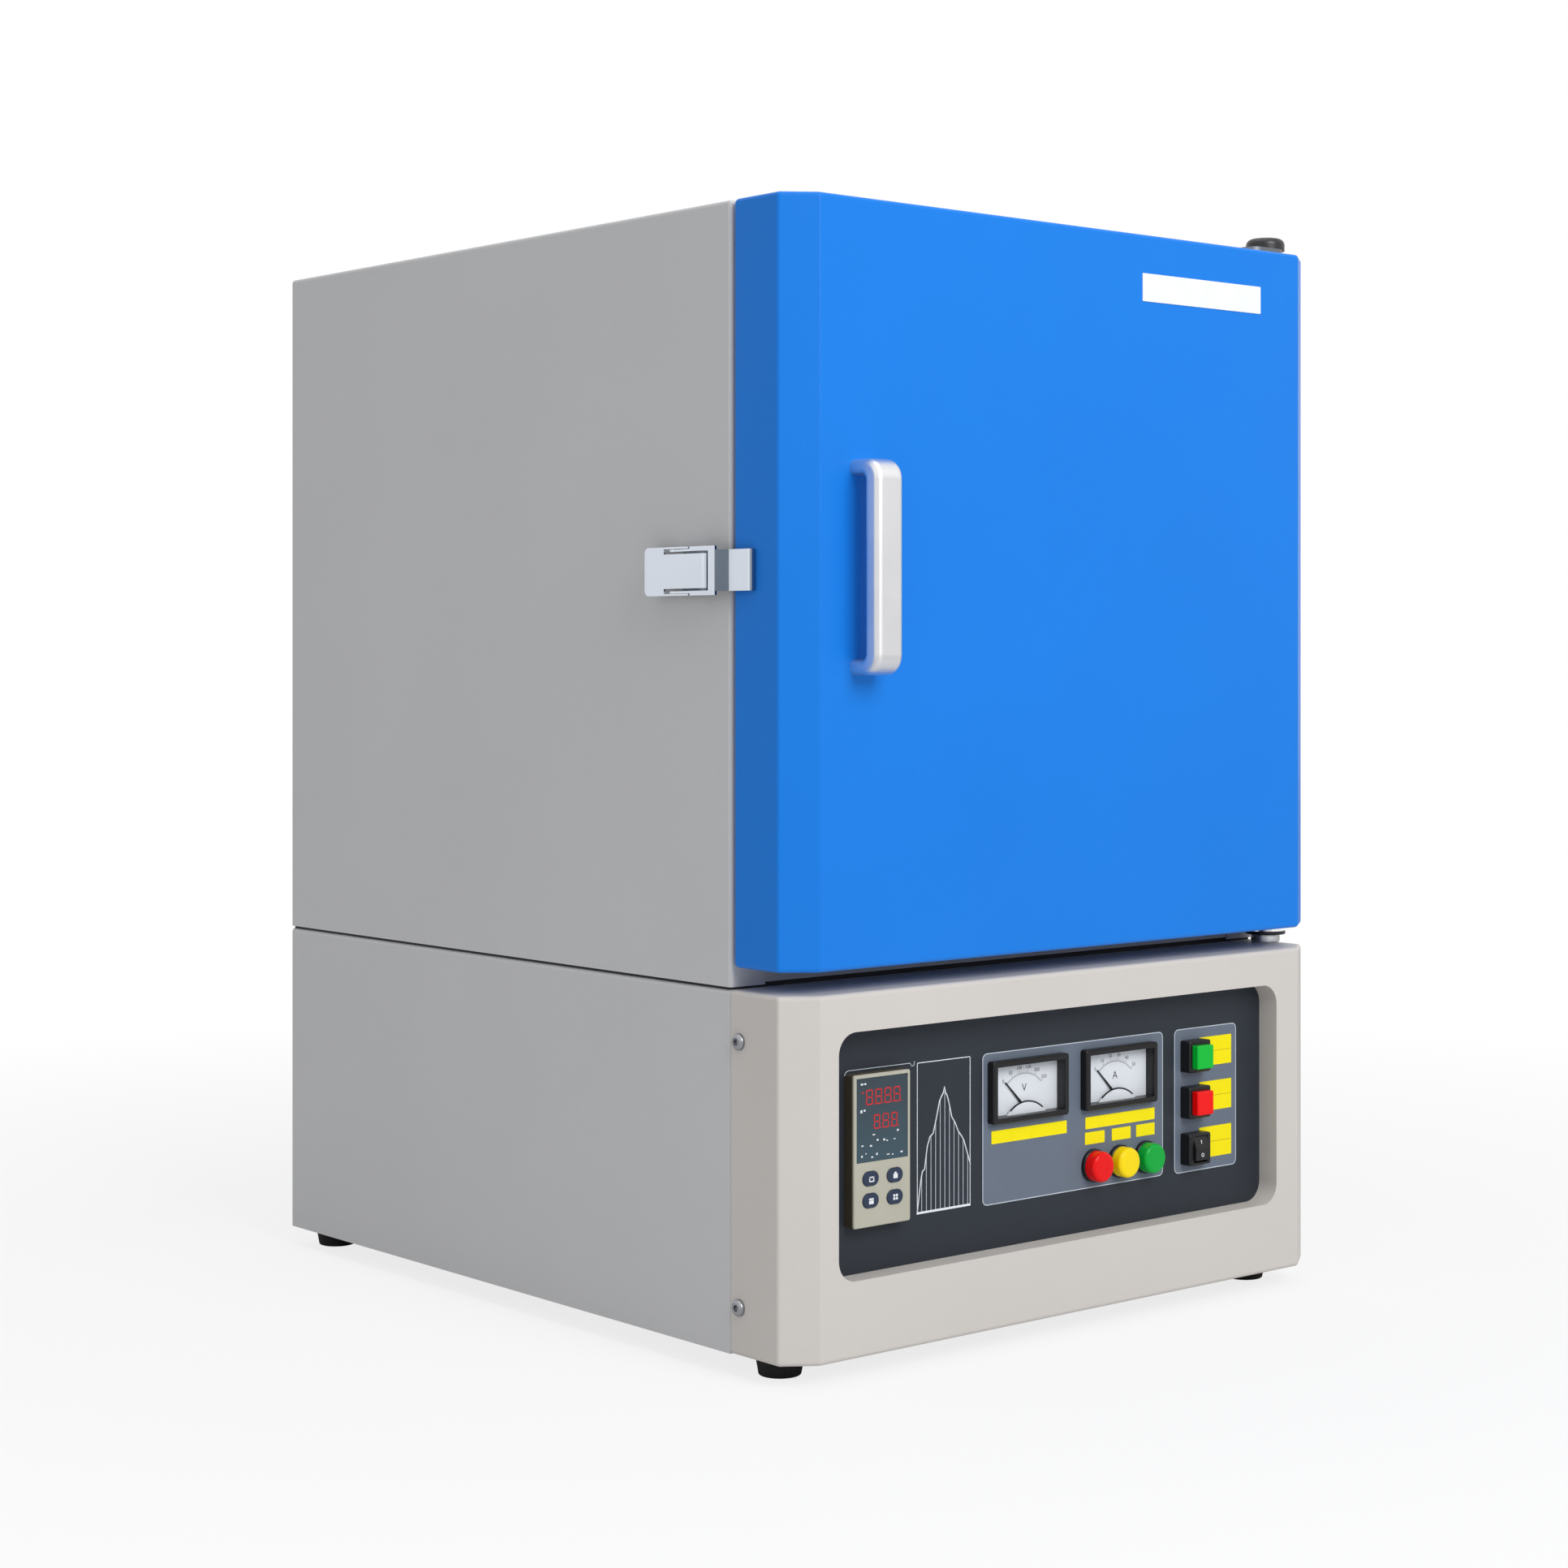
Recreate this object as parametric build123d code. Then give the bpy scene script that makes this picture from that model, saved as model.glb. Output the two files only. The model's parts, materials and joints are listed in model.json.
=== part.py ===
from build123d import *
import os
from math import atan2, cos, degrees, pi, radians, sin

# Box muffle furnace: a grey upper casing round the fired chamber, a blue side-hung door, and a lower case
# with the controls behind a recessed front. Millimetres. While it is built, x = 0 is the middle of the
# casing, y = 0 the plane of its front edges with +y to the rear, and z = 0 the surface that it stands on.

# Casing
CASE_WIDTH = 495.0
CASE_DEPTH = 531.0
LOWER_HEIGHT = 228.0
UPPER_HEIGHT = 494.0
SEAM = 1.6
SHEET = 1.5
BEND = 3.0
SHEET_GAP = 0.3
FRONT_REACH = 61.0
FACET_WIDTH = 21.5
FACET_DEPTH = 15.4
FLANGE = 28.0
TRAY_RIM = 26.0

# Feet
FOOT_HEIGHT = 14.0
FOOT_TOP_RADIUS = 16.0
FOOT_BASE_RADIUS = 13.5
FOOT_BORE_RADIUS = 5.0
FOOT_FROM_SIDE = 27.5
FOOT_FROM_BACK = 20.0
FRONT_FOOT_LEAD = 15.0

# Furnace chamber and its lining
CHAMBER_WIDTH = 240.0
CHAMBER_HEIGHT = 200.0
CHAMBER_DEPTH = 300.0
WALL_BOARD = 50.0
FLOOR_BOARD = 35.0
ROOF_BOARD = 40.0
BACKING_FLOOR = 90.0
BACKING_ROOF = 50.0
BACKING_REAR = 60.0
AIR_GAP = 6.0
COLLAR_DEPTH = 40.0
MOUTH_FRONT = 208.0
MOUTH_BACK = 196.0
HEARTH_THICKNESS = 10.0
HEARTH_MARGIN = 12.0

# Heating elements, four hairpins hung through the roof
HOT_RADIUS = 3.0
COLD_RADIUS = 6.0
HAIRPIN_SPACING = 60.0
HAIRPIN_FROM_WALL = 18.0
HAIRPIN_LIFT = 24.0
COLD_DIP = 12.0
COLD_STAND = 46.0
ROD_CLEARANCE = 0.3
CLAMP_RADIUS = 12.0
CLAMP_HEIGHT = 14.0
STRAP_WIDTH = 14.0
STRAP_THICKNESS = 2.0

# Thermocouple
SHEATH_RADIUS = 4.0
SHEATH_REACH = 24.0
SHEATH_DROP = 40.0
HEAD_RADIUS = 21.0
HEAD_LENGTH = 32.0

# Door
DOOR_GAP = 2.5
DOOR_LIFT = 14.3
DOOR_RETURN = 20.0
PLUG_DEPTH = 30.0
PLUG_CLEARANCE = 4.0
PLUG_TAPER = 7.0
GASKET_WIDTH = 12.0
GASKET_INSET = 20.0
GASKET_CLEARANCE = 0.3
BOARD_CLEARANCE = 0.3

# Handle
HANDLE_FROM_SIDE = 45.7
HANDLE_WIDTH = 22.0
HANDLE_LENGTH = 134.0
HANDLE_REACH = 26.0
HANDLE_GRIP = 13.5
HANDLE_LEG = 9.6
HANDLE_CORNER = 12.5
HANDLE_INNER_CORNER = 4.0
HANDLE_EDGE = 4.0
HANDLE_LEVEL = 506.5

# Door pivots
HINGE_FROM_SIDE = 8.0
HINGE_FROM_SEAM = 19.0
PIN_RADIUS = 5.0
PIN_CLEARANCE = 0.05
PIN_DEPTH = 22.0
COLLAR_RADIUS = 10.4
COLLAR_HEIGHT = 6.0
WASHER_RADIUS = 14.5
WASHER_HEIGHT = 2.6
CAP_RADIUS = 14.0
CAP_HEIGHT = 9.0
BRACKET_THICKNESS = 5.0
BRACKET_STEP = 2.5
BRACKET_WIDTH = 36.0
BRACKET_LENGTH = 70.0
BLOCK_SIDE = 30.0
BLOCK_DEPTH = 26.0
PIVOT_PLATE = 8.0

# Draw latch on the left side; u runs to the rear, h stands out from the side, w runs up
LATCH_LEVEL = 505.0
LATCH_SHEET = 1.5
LATCH_STAND = 10.5
LEVER_PIVOT_U = 17.0
LEVER_PIVOT_H = 7.0
LINK_PIVOT_U = 50.0
LINK_PIVOT_H = 5.5
LEVER_END_U = 75.0
LEVER_SHOULDER_U = 55.0
LEVER_HALF_WIDTH = 15.5
TONGUE_HALF_WIDTH = 11.0
CHEEK_THICKNESS = 1.2
CHEEK_FRONT_U = 30.0
CHEEK_REAR_U = 64.0
LATCH_PIN_RADIUS = 2.0
LINK_PIN_RADIUS = 1.5
LATCH_RUNNING = 0.05
LATCH_SIDE_GAP = 0.3
EAR_THICKNESS = 1.1
ARM_THICKNESS = 1.4
HOOK_REAR_U = 28.5
HOOK_WINDOW_U = 10.0
HOOK_FRONT_U = 3.0
HOOK_LOW_U = -3.0
HOOK_LOW_H = 3.5
HOOK_HALF_WIDTH = 13.0
CLAW_U = -24.5
CLAW_TIP_H = 0.4
KEEPER_HALF_WIDTH = 12.0
KEEPER_SHEET = 1.2
KEEPER_REAR_U = -6.0

# Recessed window of the front bezel and the control panel behind it
WINDOW_FROM_SIDE = 36.5
WINDOW_WIDTH = 413.5
WINDOW_FROM_BASE = 48.5
WINDOW_HEIGHT = 155.0
WINDOW_CORNER = 14.0
WINDOW_DEPTH = 16.0
PANEL_MARGIN = 10.0
PANEL_THICKNESS = 2.0
CUTOUT_CLEARANCE = 0.3

# Instruments, placed from the left side and the base of the lower case
CONTROLLER_FROM_SIDE = 79.0
CONTROLLER_FROM_BASE = 127.0
CONTROLLER_WIDTH = 48.0
CONTROLLER_HEIGHT = 96.0
CONTROLLER_FLANGE = 7.5
CONTROLLER_FACE = 1.7
CONTROLLER_BODY_WIDTH = 44.5
CONTROLLER_BODY_HEIGHT = 91.5
CONTROLLER_BODY_DEPTH = 70.0
DISPLAY_WIDTH = 43.6
DISPLAY_HEIGHT = 53.0
DISPLAY_FROM_TOP = 2.2
DISPLAY_SINK = 0.4
KEY_WIDTH = 13.4
KEY_HEIGHT = 9.2
KEY_PITCH_X = 20.5
KEY_PITCH_Z = 13.8
KEYS_FROM_BASE = 102.5
KEY_PROUD = 0.9
KEY_TRAVEL = 0.8
KEY_CLEARANCE = 0.15
METER_FROM_SIDE = (215.3, 302.4)
METER_FROM_BASE = 151.0
METER_WIDTH = 70.6
METER_HEIGHT = 41.0
METER_PROUD = 6.0
METER_BORDER = 3.8
METER_SINK = 8.0
METER_WALL = 1.2
METER_BODY_DEPTH = 34.0
METER_GLASS = 1.0
METER_GLASS_SINK = 1.0
DIAL_THICKNESS = 0.8
DIAL_CLEARANCE = 0.1
NEEDLE_LENGTH = 25.0
NEEDLE_HUB_RADIUS = 3.0
NEEDLE_WIDTH = 0.9
NEEDLE_THICKNESS = 0.6
NEEDLE_REST = 45.0
NEEDLE_CLEARANCE = 0.5
SPINDLE_RADIUS = 1.0
LAMP_FROM_SIDE = (279.0, 304.6, 330.2)
LAMP_FROM_BASE = 92.4
LAMP_BASE_RADIUS = 11.2
LAMP_BASE_HEIGHT = 3.0
LAMP_LENS_RADIUS = 10.3
LAMP_LENS_HEIGHT = 8.2
LAMP_LENS_DOME = 2.6
LAMP_BARREL_RADIUS = 7.9
LAMP_BARREL_LENGTH = 30.0
LAMP_NUT_RADIUS = 10.0
LAMP_NUT_HEIGHT = 4.0
SWITCH_FROM_SIDE = 377.7
SWITCH_SIDE = 22.0
SWITCH_PROUD = 9.0
SWITCH_BODY = 15.6
SWITCH_BODY_DEPTH = 26.0
GREEN_FROM_BASE = 158.0
RED_FROM_BASE = 126.0
ROCKER_FROM_BASE = 93.5
CAP_SIDE = 16.4
CAP_CLEARANCE = 0.2
CAP_PROUD = 5.0
CAP_LENGTH = 12.0
CAP_TRAVEL = 4.0
CAP_CORNER = 1.2
ROCKER_WIDTH = 13.6
ROCKER_HALF_HEIGHT = 8.2
ROCKER_DEPTH = 8.0
ROCKER_CREST = 1.6
ROCKER_TILT = 8.0
ROCKER_CLEARANCE = 1.0
ROCKER_SIDE_CLEARANCE = 0.2
ROCKER_AXLE_RADIUS = 1.5

# Screws
SCREW_HEAD_RADIUS = 5.3
SCREW_HEAD_HEIGHT = 3.2
SCREW_RADIUS = 3.0
SCREW_LENGTH = 12.0
SOCKET_RADIUS = 2.3
SOCKET_DEPTH = 2.0
BEZEL_SCREW_LEAD = 8.5
BEZEL_SCREW_LEVELS = (30.5, 196.5)
COVER_SCREW_INSET = 16.0

# Cooling fan, vents and cable gland at the rear
FAN_SIDE = 80.0
FAN_DEPTH = 25.0
FAN_CORNER = 5.0
FAN_RADIUS = 37.5
FAN_TIP_CLEARANCE = 1.0
FAN_HUB_RADIUS = 16.0
FAN_BLADES = 7
FAN_BLADE_THICKNESS = 1.6
FAN_BLADE_PITCH = 38.0
FAN_FROM_LEFT = 120.0
FAN_FROM_BASE = 118.0
FAN_SPINDLE_RADIUS = 2.0
GRILLE_RINGS = 4
GRILLE_SLOT = 5.0
GRILLE_BAR = 3.0
GRILLE_SPOKE = 4.0
LOUVRE_LENGTH = 90.0
LOUVRE_HEIGHT = 9.0
LOUVRE_RISE = 6.0
LOUVRE_WALL = 1.0
LOUVRE_PITCH = 24.0
UPPER_LOUVRES = 6
LOWER_LOUVRES = 5
GLAND_FROM_RIGHT = 110.0
GLAND_FROM_BASE = 46.0
GLAND_THREAD_RADIUS = 10.0
GLAND_HEX = 24.0
GLAND_HEX_LENGTH = 6.0
GLAND_DOME_LENGTH = 16.0
GLAND_INSIDE = 10.0
GLAND_BORE = 6.0

# Electrics in the lower case
CORE_WIDTH = 120.0
CORE_DEPTH = 70.0
CORE_HEIGHT = 104.0
CORE_LIMB = 20.0
COIL_SWELL = 22.0
CORE_FROM_LEFT = 150.0
CORE_FROM_FRONT = 250.0
SINK_WIDTH = 110.0
SINK_LENGTH = 120.0
SINK_BASE = 8.0
SINK_FIN = 2.0
SINK_FIN_HEIGHT = 32.0
SINK_FINS = 9
MODULE_SIZE = (34.0, 92.0, 28.0)
REGULATOR_FROM_RIGHT = 120.0
REGULATOR_FROM_FRONT = 230.0
CONTACTOR_SIZE = (45.0, 76.0, 58.0)
CONTACTOR_STEP = 12.0
CONTACTOR_FROM_RIGHT = 120.0
CONTACTOR_FROM_FRONT = 400.0

# Levels and planes that follow from the driving sizes
HALF_WIDTH = CASE_WIDTH / 2
LOWER_BASE = FOOT_HEIGHT
LOWER_TOP = LOWER_BASE + LOWER_HEIGHT
UPPER_BASE = LOWER_TOP + SEAM
UPPER_TOP = UPPER_BASE + UPPER_HEIGHT
DOOR_BASE = LOWER_TOP + DOOR_LIFT
DOOR_TOP = UPPER_TOP
PAN_FLOOR = LOWER_BASE + SHEET
DECK_FLOOR = LOWER_TOP + 2 * SHEET
INNER_HALF = HALF_WIDTH - SHEET
LINING_FRONT = 2 * SHEET
CHAMBER_FRONT = LINING_FRONT + COLLAR_DEPTH
CHAMBER_BACK = CHAMBER_FRONT + CHAMBER_DEPTH
BACK_BOARD_END = CHAMBER_BACK + WALL_BOARD
BACKING_END = BACK_BOARD_END + BACKING_REAR
CHAMBER_FLOOR = DECK_FLOOR + BACKING_FLOOR + FLOOR_BOARD
CHAMBER_CEILING = CHAMBER_FLOOR + CHAMBER_HEIGHT
ROOF_TOP = CHAMBER_CEILING + ROOF_BOARD
BACKING_TOP = ROOF_TOP + BACKING_ROOF
CHAMBER_HALF = CHAMBER_WIDTH / 2
BOARD_HALF = CHAMBER_HALF + WALL_BOARD
BACKING_HALF = INNER_HALF - AIR_GAP
MOUTH_LEVEL = (CHAMBER_FLOOR + CHAMBER_CEILING) / 2
DOOR_BACK = -DOOR_GAP - 2 * SHEET
HINGE_X = HALF_WIDTH - HINGE_FROM_SIDE
HINGE_Y = -HINGE_FROM_SEAM
WINDOW_LEFT = WINDOW_FROM_SIDE - HALF_WIDTH
WINDOW_RIGHT = WINDOW_LEFT + WINDOW_WIDTH
WINDOW_BASE = LOWER_BASE + WINDOW_FROM_BASE
WINDOW_TOP = WINDOW_BASE + WINDOW_HEIGHT
PANEL_FACE = WINDOW_DEPTH - FRONT_REACH
REAR_SKIN = CASE_DEPTH - SHEET
GLAND_REACH = GLAND_HEX_LENGTH + GLAND_DOME_LENGTH

# The origin of the finished model: below the middle of the whole furnace, on the standing surface
ORIGIN_X = ((HINGE_X + WASHER_RADIUS) - (HALF_WIDTH + LATCH_STAND)) / 2
ORIGIN_Y = (CASE_DEPTH + GLAND_REACH - FRONT_REACH - HANDLE_REACH) / 2


def block(x, y, z):
    """A box between the low and high limits given for each axis."""
    size = (x[1] - x[0], y[1] - y[0], z[1] - z[0])
    return Pos((x[0] + x[1]) / 2, (y[0] + y[1]) / 2, (z[0] + z[1]) / 2) * Box(*size)


def rod(start, end, radius):
    """A round bar between two points."""
    start, end = Vector(*start), Vector(*end)
    seat = Plane(origin=start, z_dir=end - start)
    return seat * Cylinder(radius, (end - start).length, align=(Align.CENTER, Align.CENTER, Align.MIN))


def group(*pieces):
    """Several separate solids kept apart in one sub-part."""
    return Compound([solid for piece in pieces for solid in piece.solids()])


def upright_slab(x, z, corner, y):
    """A rounded rectangle on the x and z limits, thickened between two y values."""
    outline = RectangleRounded(x[1] - x[0], z[1] - z[0], corner)
    centre = ((x[0] + x[1]) / 2, y[0], (z[0] + z[1]) / 2)
    return extrude(facing(centre, (0, 1, 0)) * outline, y[1] - y[0])


def around(centre, half_x, half_z):
    """The x and z limits of something centred on a point of the front."""
    return (centre[0] - half_x, centre[0] + half_x), (centre[1] - half_z, centre[1] + half_z)


def on_front(from_side, from_base):
    """A point of the front, from the left side and the base of the lower case."""
    return (from_side - HALF_WIDTH, from_base + LOWER_BASE)


def faceted_block(inset, back, z):
    """The plan with two cut front corners that the door and the bezel share, drawn inside by an inset."""
    corner_y = FACET_DEPTH - FRONT_REACH
    left = [(-HALF_WIDTH, back + inset), (-HALF_WIDTH, corner_y), (FACET_WIDTH - HALF_WIDTH, -FRONT_REACH)]
    right = [(-x, y) for x, y in reversed(left)]
    plan = make_face(Polyline(*left, *right, close=True))
    if inset:
        plan = offset(plan, amount=-inset, kind=Kind.INTERSECTION)
    return extrude(Pos(0, 0, z[0]) * plan, z[1] - z[0])


def revolved(profile):
    """A turned piece about the z axis, from points of its half section."""
    section = Plane.XZ * make_face(Polyline(*profile, close=True))
    return revolve(section, Axis.Z)


def facing(point, direction):
    """A place whose z axis points along the given direction, with its x axis along the front if it can be."""
    x_dir = (0, 1, 0) if direction[0] else (1, 0, 0)
    return Plane(origin=point, x_dir=x_dir, z_dir=direction)


def cap_screw(point, direction):
    """A button-head screw with a six-sided socket; the direction points out of its head."""
    head = Cylinder(SCREW_HEAD_RADIUS, SCREW_HEAD_HEIGHT, align=(Align.CENTER, Align.CENTER, Align.MIN))
    head = fillet(head.faces().sort_by(Axis.Z)[-1].edges(), SCREW_HEAD_HEIGHT * 0.7)
    shank = Pos(0, 0, -SCREW_LENGTH / 2) * Cylinder(SCREW_RADIUS, SCREW_LENGTH)
    socket = extrude(RegularPolygon(SOCKET_RADIUS, 6), SOCKET_DEPTH)
    socket = Pos(0, 0, SCREW_HEAD_HEIGHT - SOCKET_DEPTH) * socket
    return facing(point, direction) * (head + shank - socket)


def screw_hole(point, direction, depth):
    """The clearance hole that a cap screw passes through."""
    return facing(point, direction) * Cylinder(SCREW_RADIUS + CUTOUT_CLEARANCE, depth)


# Lower case

def bezel_screw_points():
    """Where the side screws of the bezel lie, with the way that their heads face."""
    levels = [LOWER_BASE + level for level in BEZEL_SCREW_LEVELS]
    return [((side * HALF_WIDTH, -BEZEL_SCREW_LEAD, z), (side, 0, 0)) for side in (-1, 1) for z in levels]


def rear_cover_points(low, high):
    """Corner screws of a rear cover between two levels."""
    x = HALF_WIDTH - COVER_SCREW_INSET
    levels = (low + COVER_SCREW_INSET, high - COVER_SCREW_INSET)
    return [((side * x, CASE_DEPTH, z), (0, 1, 0)) for side in (-1, 1) for z in levels]


def bracket_screw_points():
    """Screws that hold the upper hinge bracket on the casing top."""
    x = HALF_WIDTH - BRACKET_WIDTH / 2 - BEND
    z = UPPER_TOP + BRACKET_THICKNESS
    return [((x, y, z), (0, 0, 1)) for y in (BRACKET_LENGTH * 0.35, BRACKET_LENGTH * 0.75)]


def lower_shell():
    """Sides and deck of the lower case, folded from one sheet, with tabs that the bezel is screwed to."""
    y = (SHEET_GAP, CASE_DEPTH)
    outer = block((-HALF_WIDTH, HALF_WIDTH), y, (LOWER_BASE, LOWER_TOP))
    outer = fillet(outer.edges().filter_by(Axis.Y).group_by(Axis.Z)[-1], BEND)
    inner = block((-INNER_HALF, INNER_HALF), y, (LOWER_BASE, LOWER_TOP - SHEET))
    inner = fillet(inner.edges().filter_by(Axis.Y).group_by(Axis.Z)[-1], BEND - SHEET)
    shell = outer - inner
    for point, direction in bezel_screw_points():
        x = sorted((direction[0] * INNER_HALF, direction[0] * (INNER_HALF - SHEET)))
        tab_y = (-2 * BEZEL_SCREW_LEAD, 2 * BEZEL_SCREW_LEAD)
        shell += block(x, tab_y, (point[2] - BEZEL_SCREW_LEAD, point[2] + BEZEL_SCREW_LEAD))
        shell -= screw_hole(point, direction, 6 * SHEET)
    return shell


def base_pan():
    """Tray that closes the lower case from below and carries the electrics."""
    half = INNER_HALF - SHEET
    front = FLANGE - FRONT_REACH + SHEET
    tray = block((-half, half), (front, REAR_SKIN), (LOWER_BASE, PAN_FLOOR))
    for side in (-1, 1):
        x = sorted((side * half, side * (half - SHEET)))
        tray += block(x, (SHEET_GAP, REAR_SKIN), (PAN_FLOOR, PAN_FLOOR + TRAY_RIM))
    for foot in foot_centres():
        tray -= Pos(foot[0], foot[1], LOWER_BASE) * Cylinder(FOOT_BORE_RADIUS, 4 * SHEET)
    return tray


def louvre(centre):
    """A pressed hood on the outside of a cover, open below, and the slot behind it."""
    wall = LOUVRE_WALL
    x = (centre[0] - LOUVRE_LENGTH / 2, centre[0] + LOUVRE_LENGTH / 2)
    z = (centre[1] - LOUVRE_HEIGHT / 2, centre[1] + LOUVRE_HEIGHT / 2)
    crest = CASE_DEPTH + LOUVRE_RISE
    hood = block(x, (REAR_SKIN + wall / 2, crest), z)
    bends = hood.faces().sort_by(Axis.Y)[-1].edges().sort_by(Axis.Z)[1:]
    hood = fillet(bends, LOUVRE_RISE * 0.6)
    inner_x = (x[0] + wall, x[1] - wall)
    hollow = block(inner_x, (CASE_DEPTH, crest - wall), (z[0] - wall, z[1] - wall))
    bends = hollow.faces().sort_by(Axis.Y)[-1].edges().sort_by(Axis.Z)[1:]
    hollow = fillet(bends, LOUVRE_RISE * 0.6 - wall)
    slot = block(inner_x, (REAR_SKIN - wall, CASE_DEPTH + wall), (z[0], z[1] - wall))
    return hood, hollow + slot


def rear_panel(z, louvre_centres):
    """A flat rear cover with rows of louvres."""
    panel = block((-INNER_HALF, INNER_HALF), (REAR_SKIN, CASE_DEPTH), z)
    panel = chamfer(panel.edges().filter_by(Axis.Y).group_by(Axis.Z)[-1], BEND - SHEET)
    for centre in louvre_centres:
        hood, cut = louvre(centre)
        panel = panel + hood - cut
    return panel


def fan_centre():
    return (FAN_FROM_LEFT - HALF_WIDTH, LOWER_BASE + FAN_FROM_BASE)


def gland_centre():
    return (HALF_WIDTH - GLAND_FROM_RIGHT, LOWER_BASE + GLAND_FROM_BASE)


def lower_rear_panel():
    """Rear of the lower case: fan grille, louvres and the hole of the cable gland."""
    rows = [LOWER_TOP - 2 * LOUVRE_PITCH - row * LOUVRE_PITCH for row in range(LOWER_LOUVRES)]
    low, high = PAN_FLOOR, LOWER_TOP - SHEET
    panel = rear_panel((low, high), [(gland_centre()[0], z) for z in rows])
    x, z = fan_centre()
    grille = facing((x, REAR_SKIN, z), (0, 1, 0))
    slots = Part()
    for ring in range(GRILLE_RINGS):
        inner = GRILLE_SLOT + ring * (GRILLE_SLOT + GRILLE_BAR)
        slots += Cylinder(inner + GRILLE_SLOT, 4 * SHEET) - Cylinder(inner, 6 * SHEET)
    outer = GRILLE_RINGS * (GRILLE_SLOT + GRILLE_BAR) + GRILLE_SLOT
    for turn in (45, 135):
        slots -= Rot(0, 0, turn) * Box(2 * outer, GRILLE_SPOKE, 6 * SHEET)
    panel -= grille * slots
    gx, gz = gland_centre()
    panel -= rod((gx, REAR_SKIN - SHEET, gz), (gx, CASE_DEPTH + SHEET, gz), GLAND_THREAD_RADIUS)
    for point, direction in rear_cover_points(low, high):
        panel -= screw_hole(point, direction, 6 * SHEET)
    return panel


def front_bezel():
    """Faceted front of the lower case, open behind, with walls turned in round the recessed window."""
    z = (LOWER_BASE, LOWER_TOP)
    outer = faceted_block(0, 0, z)
    rear_edges = outer.faces().sort_by(Axis.Y)[-1].edges()
    outer = fillet([edge for edge in outer.edges() if edge not in rear_edges], BEND)
    hollow = faceted_block(SHEET, 2 * BEND, (z[0] + SHEET, z[1] - SHEET))
    hollow = fillet(hollow.edges(), BEND - SHEET)
    floor_cut = block((-HALF_WIDTH + FLANGE, HALF_WIDTH - FLANGE), (FLANGE - FRONT_REACH, BEND),
                      (z[0] - SHEET, z[0] + 2 * SHEET))
    side_cut = block((-INNER_HALF + SHEET, INNER_HALF - SHEET), (FLANGE - FRONT_REACH + SHEET, BEND),
                     (z[0] - SHEET, z[0] + 2 * SHEET))
    shell = outer - hollow - floor_cut - side_cut
    wall = upright_slab((WINDOW_LEFT - SHEET, WINDOW_RIGHT + SHEET), (WINDOW_BASE - SHEET, WINDOW_TOP + SHEET),
                        WINDOW_CORNER + SHEET, (-FRONT_REACH, PANEL_FACE))
    window = upright_slab((WINDOW_LEFT, WINDOW_RIGHT), (WINDOW_BASE, WINDOW_TOP), WINDOW_CORNER,
                          (-FRONT_REACH - SHEET, PANEL_FACE + SHEET))
    shell = shell + wall - window
    shell -= rod((HINGE_X, HINGE_Y, z[1] - 2 * SHEET), (HINGE_X, HINGE_Y, z[1] + SHEET),
                 PIN_RADIUS + PIN_CLEARANCE)
    for point, direction in bezel_screw_points():
        shell -= screw_hole(point, direction, 6 * SHEET)
    return shell


def case_screws():
    """Every visible casing screw: bezel sides, rear covers and the hinge bracket."""
    places = bezel_screw_points() + rear_cover_points(PAN_FLOOR, LOWER_TOP - SHEET)
    places += rear_cover_points(UPPER_BASE, UPPER_TOP - SHEET) + bracket_screw_points()
    return group(*[cap_screw(point, direction) for point, direction in places])


def foot_centres():
    """Plan places of the four feet."""
    x = HALF_WIDTH - FOOT_FROM_SIDE
    return [(side * x, y) for side in (-1, 1) for y in (-FRONT_FOOT_LEAD, CASE_DEPTH - FOOT_FROM_BACK)]


def feet():
    """Four tapered rubber feet, each with a stud that snaps into the base pan."""
    neck = FOOT_BORE_RADIUS - PIN_CLEARANCE
    top = FOOT_HEIGHT + SHEET
    profile = [(0, 0), (FOOT_BASE_RADIUS, 0), (FOOT_TOP_RADIUS, FOOT_HEIGHT), (neck, FOOT_HEIGHT), (neck, top),
               (0, top)]
    foot = revolved(profile)
    ring = foot.edges().filter_by(GeomType.CIRCLE).group_by(Axis.Z)[0]
    foot = fillet(ring, 1.5)
    return group(*[Pos(x, y, 0) * foot for x, y in foot_centres()])


def cable_gland():
    """Mains cable gland: a threaded body with a nut inside, a six-sided base and a ribbed dome outside."""
    x, z = gland_centre()
    start = REAR_SKIN - GLAND_INSIDE
    body = Cylinder(GLAND_THREAD_RADIUS - CUTOUT_CLEARANCE, GLAND_INSIDE + SHEET,
                    align=(Align.CENTER, Align.CENTER, Align.MIN))
    hexagon = RegularPolygon(GLAND_HEX / 2, 6, major_radius=False)
    nut = Pos(0, 0, GLAND_INSIDE - GLAND_HEX_LENGTH) * extrude(hexagon, GLAND_HEX_LENGTH)
    base = Pos(0, 0, GLAND_INSIDE + SHEET) * extrude(hexagon, GLAND_HEX_LENGTH)
    dome_base = GLAND_INSIDE + SHEET + GLAND_HEX_LENGTH
    dome = Pos(0, 0, dome_base) * Cone(GLAND_THREAD_RADIUS + 1, GLAND_BORE + 2.5, GLAND_DOME_LENGTH,
                                       align=(Align.CENTER, Align.CENTER, Align.MIN))
    dome = fillet(dome.edges().filter_by(GeomType.CIRCLE).group_by(Axis.Z)[-1], 1.5)
    bore = Cylinder(GLAND_BORE, 4 * GLAND_REACH)
    return facing((x, start, z), (0, 1, 0)) * (body + nut + base + dome - bore)


# Upper casing and furnace lining

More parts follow.
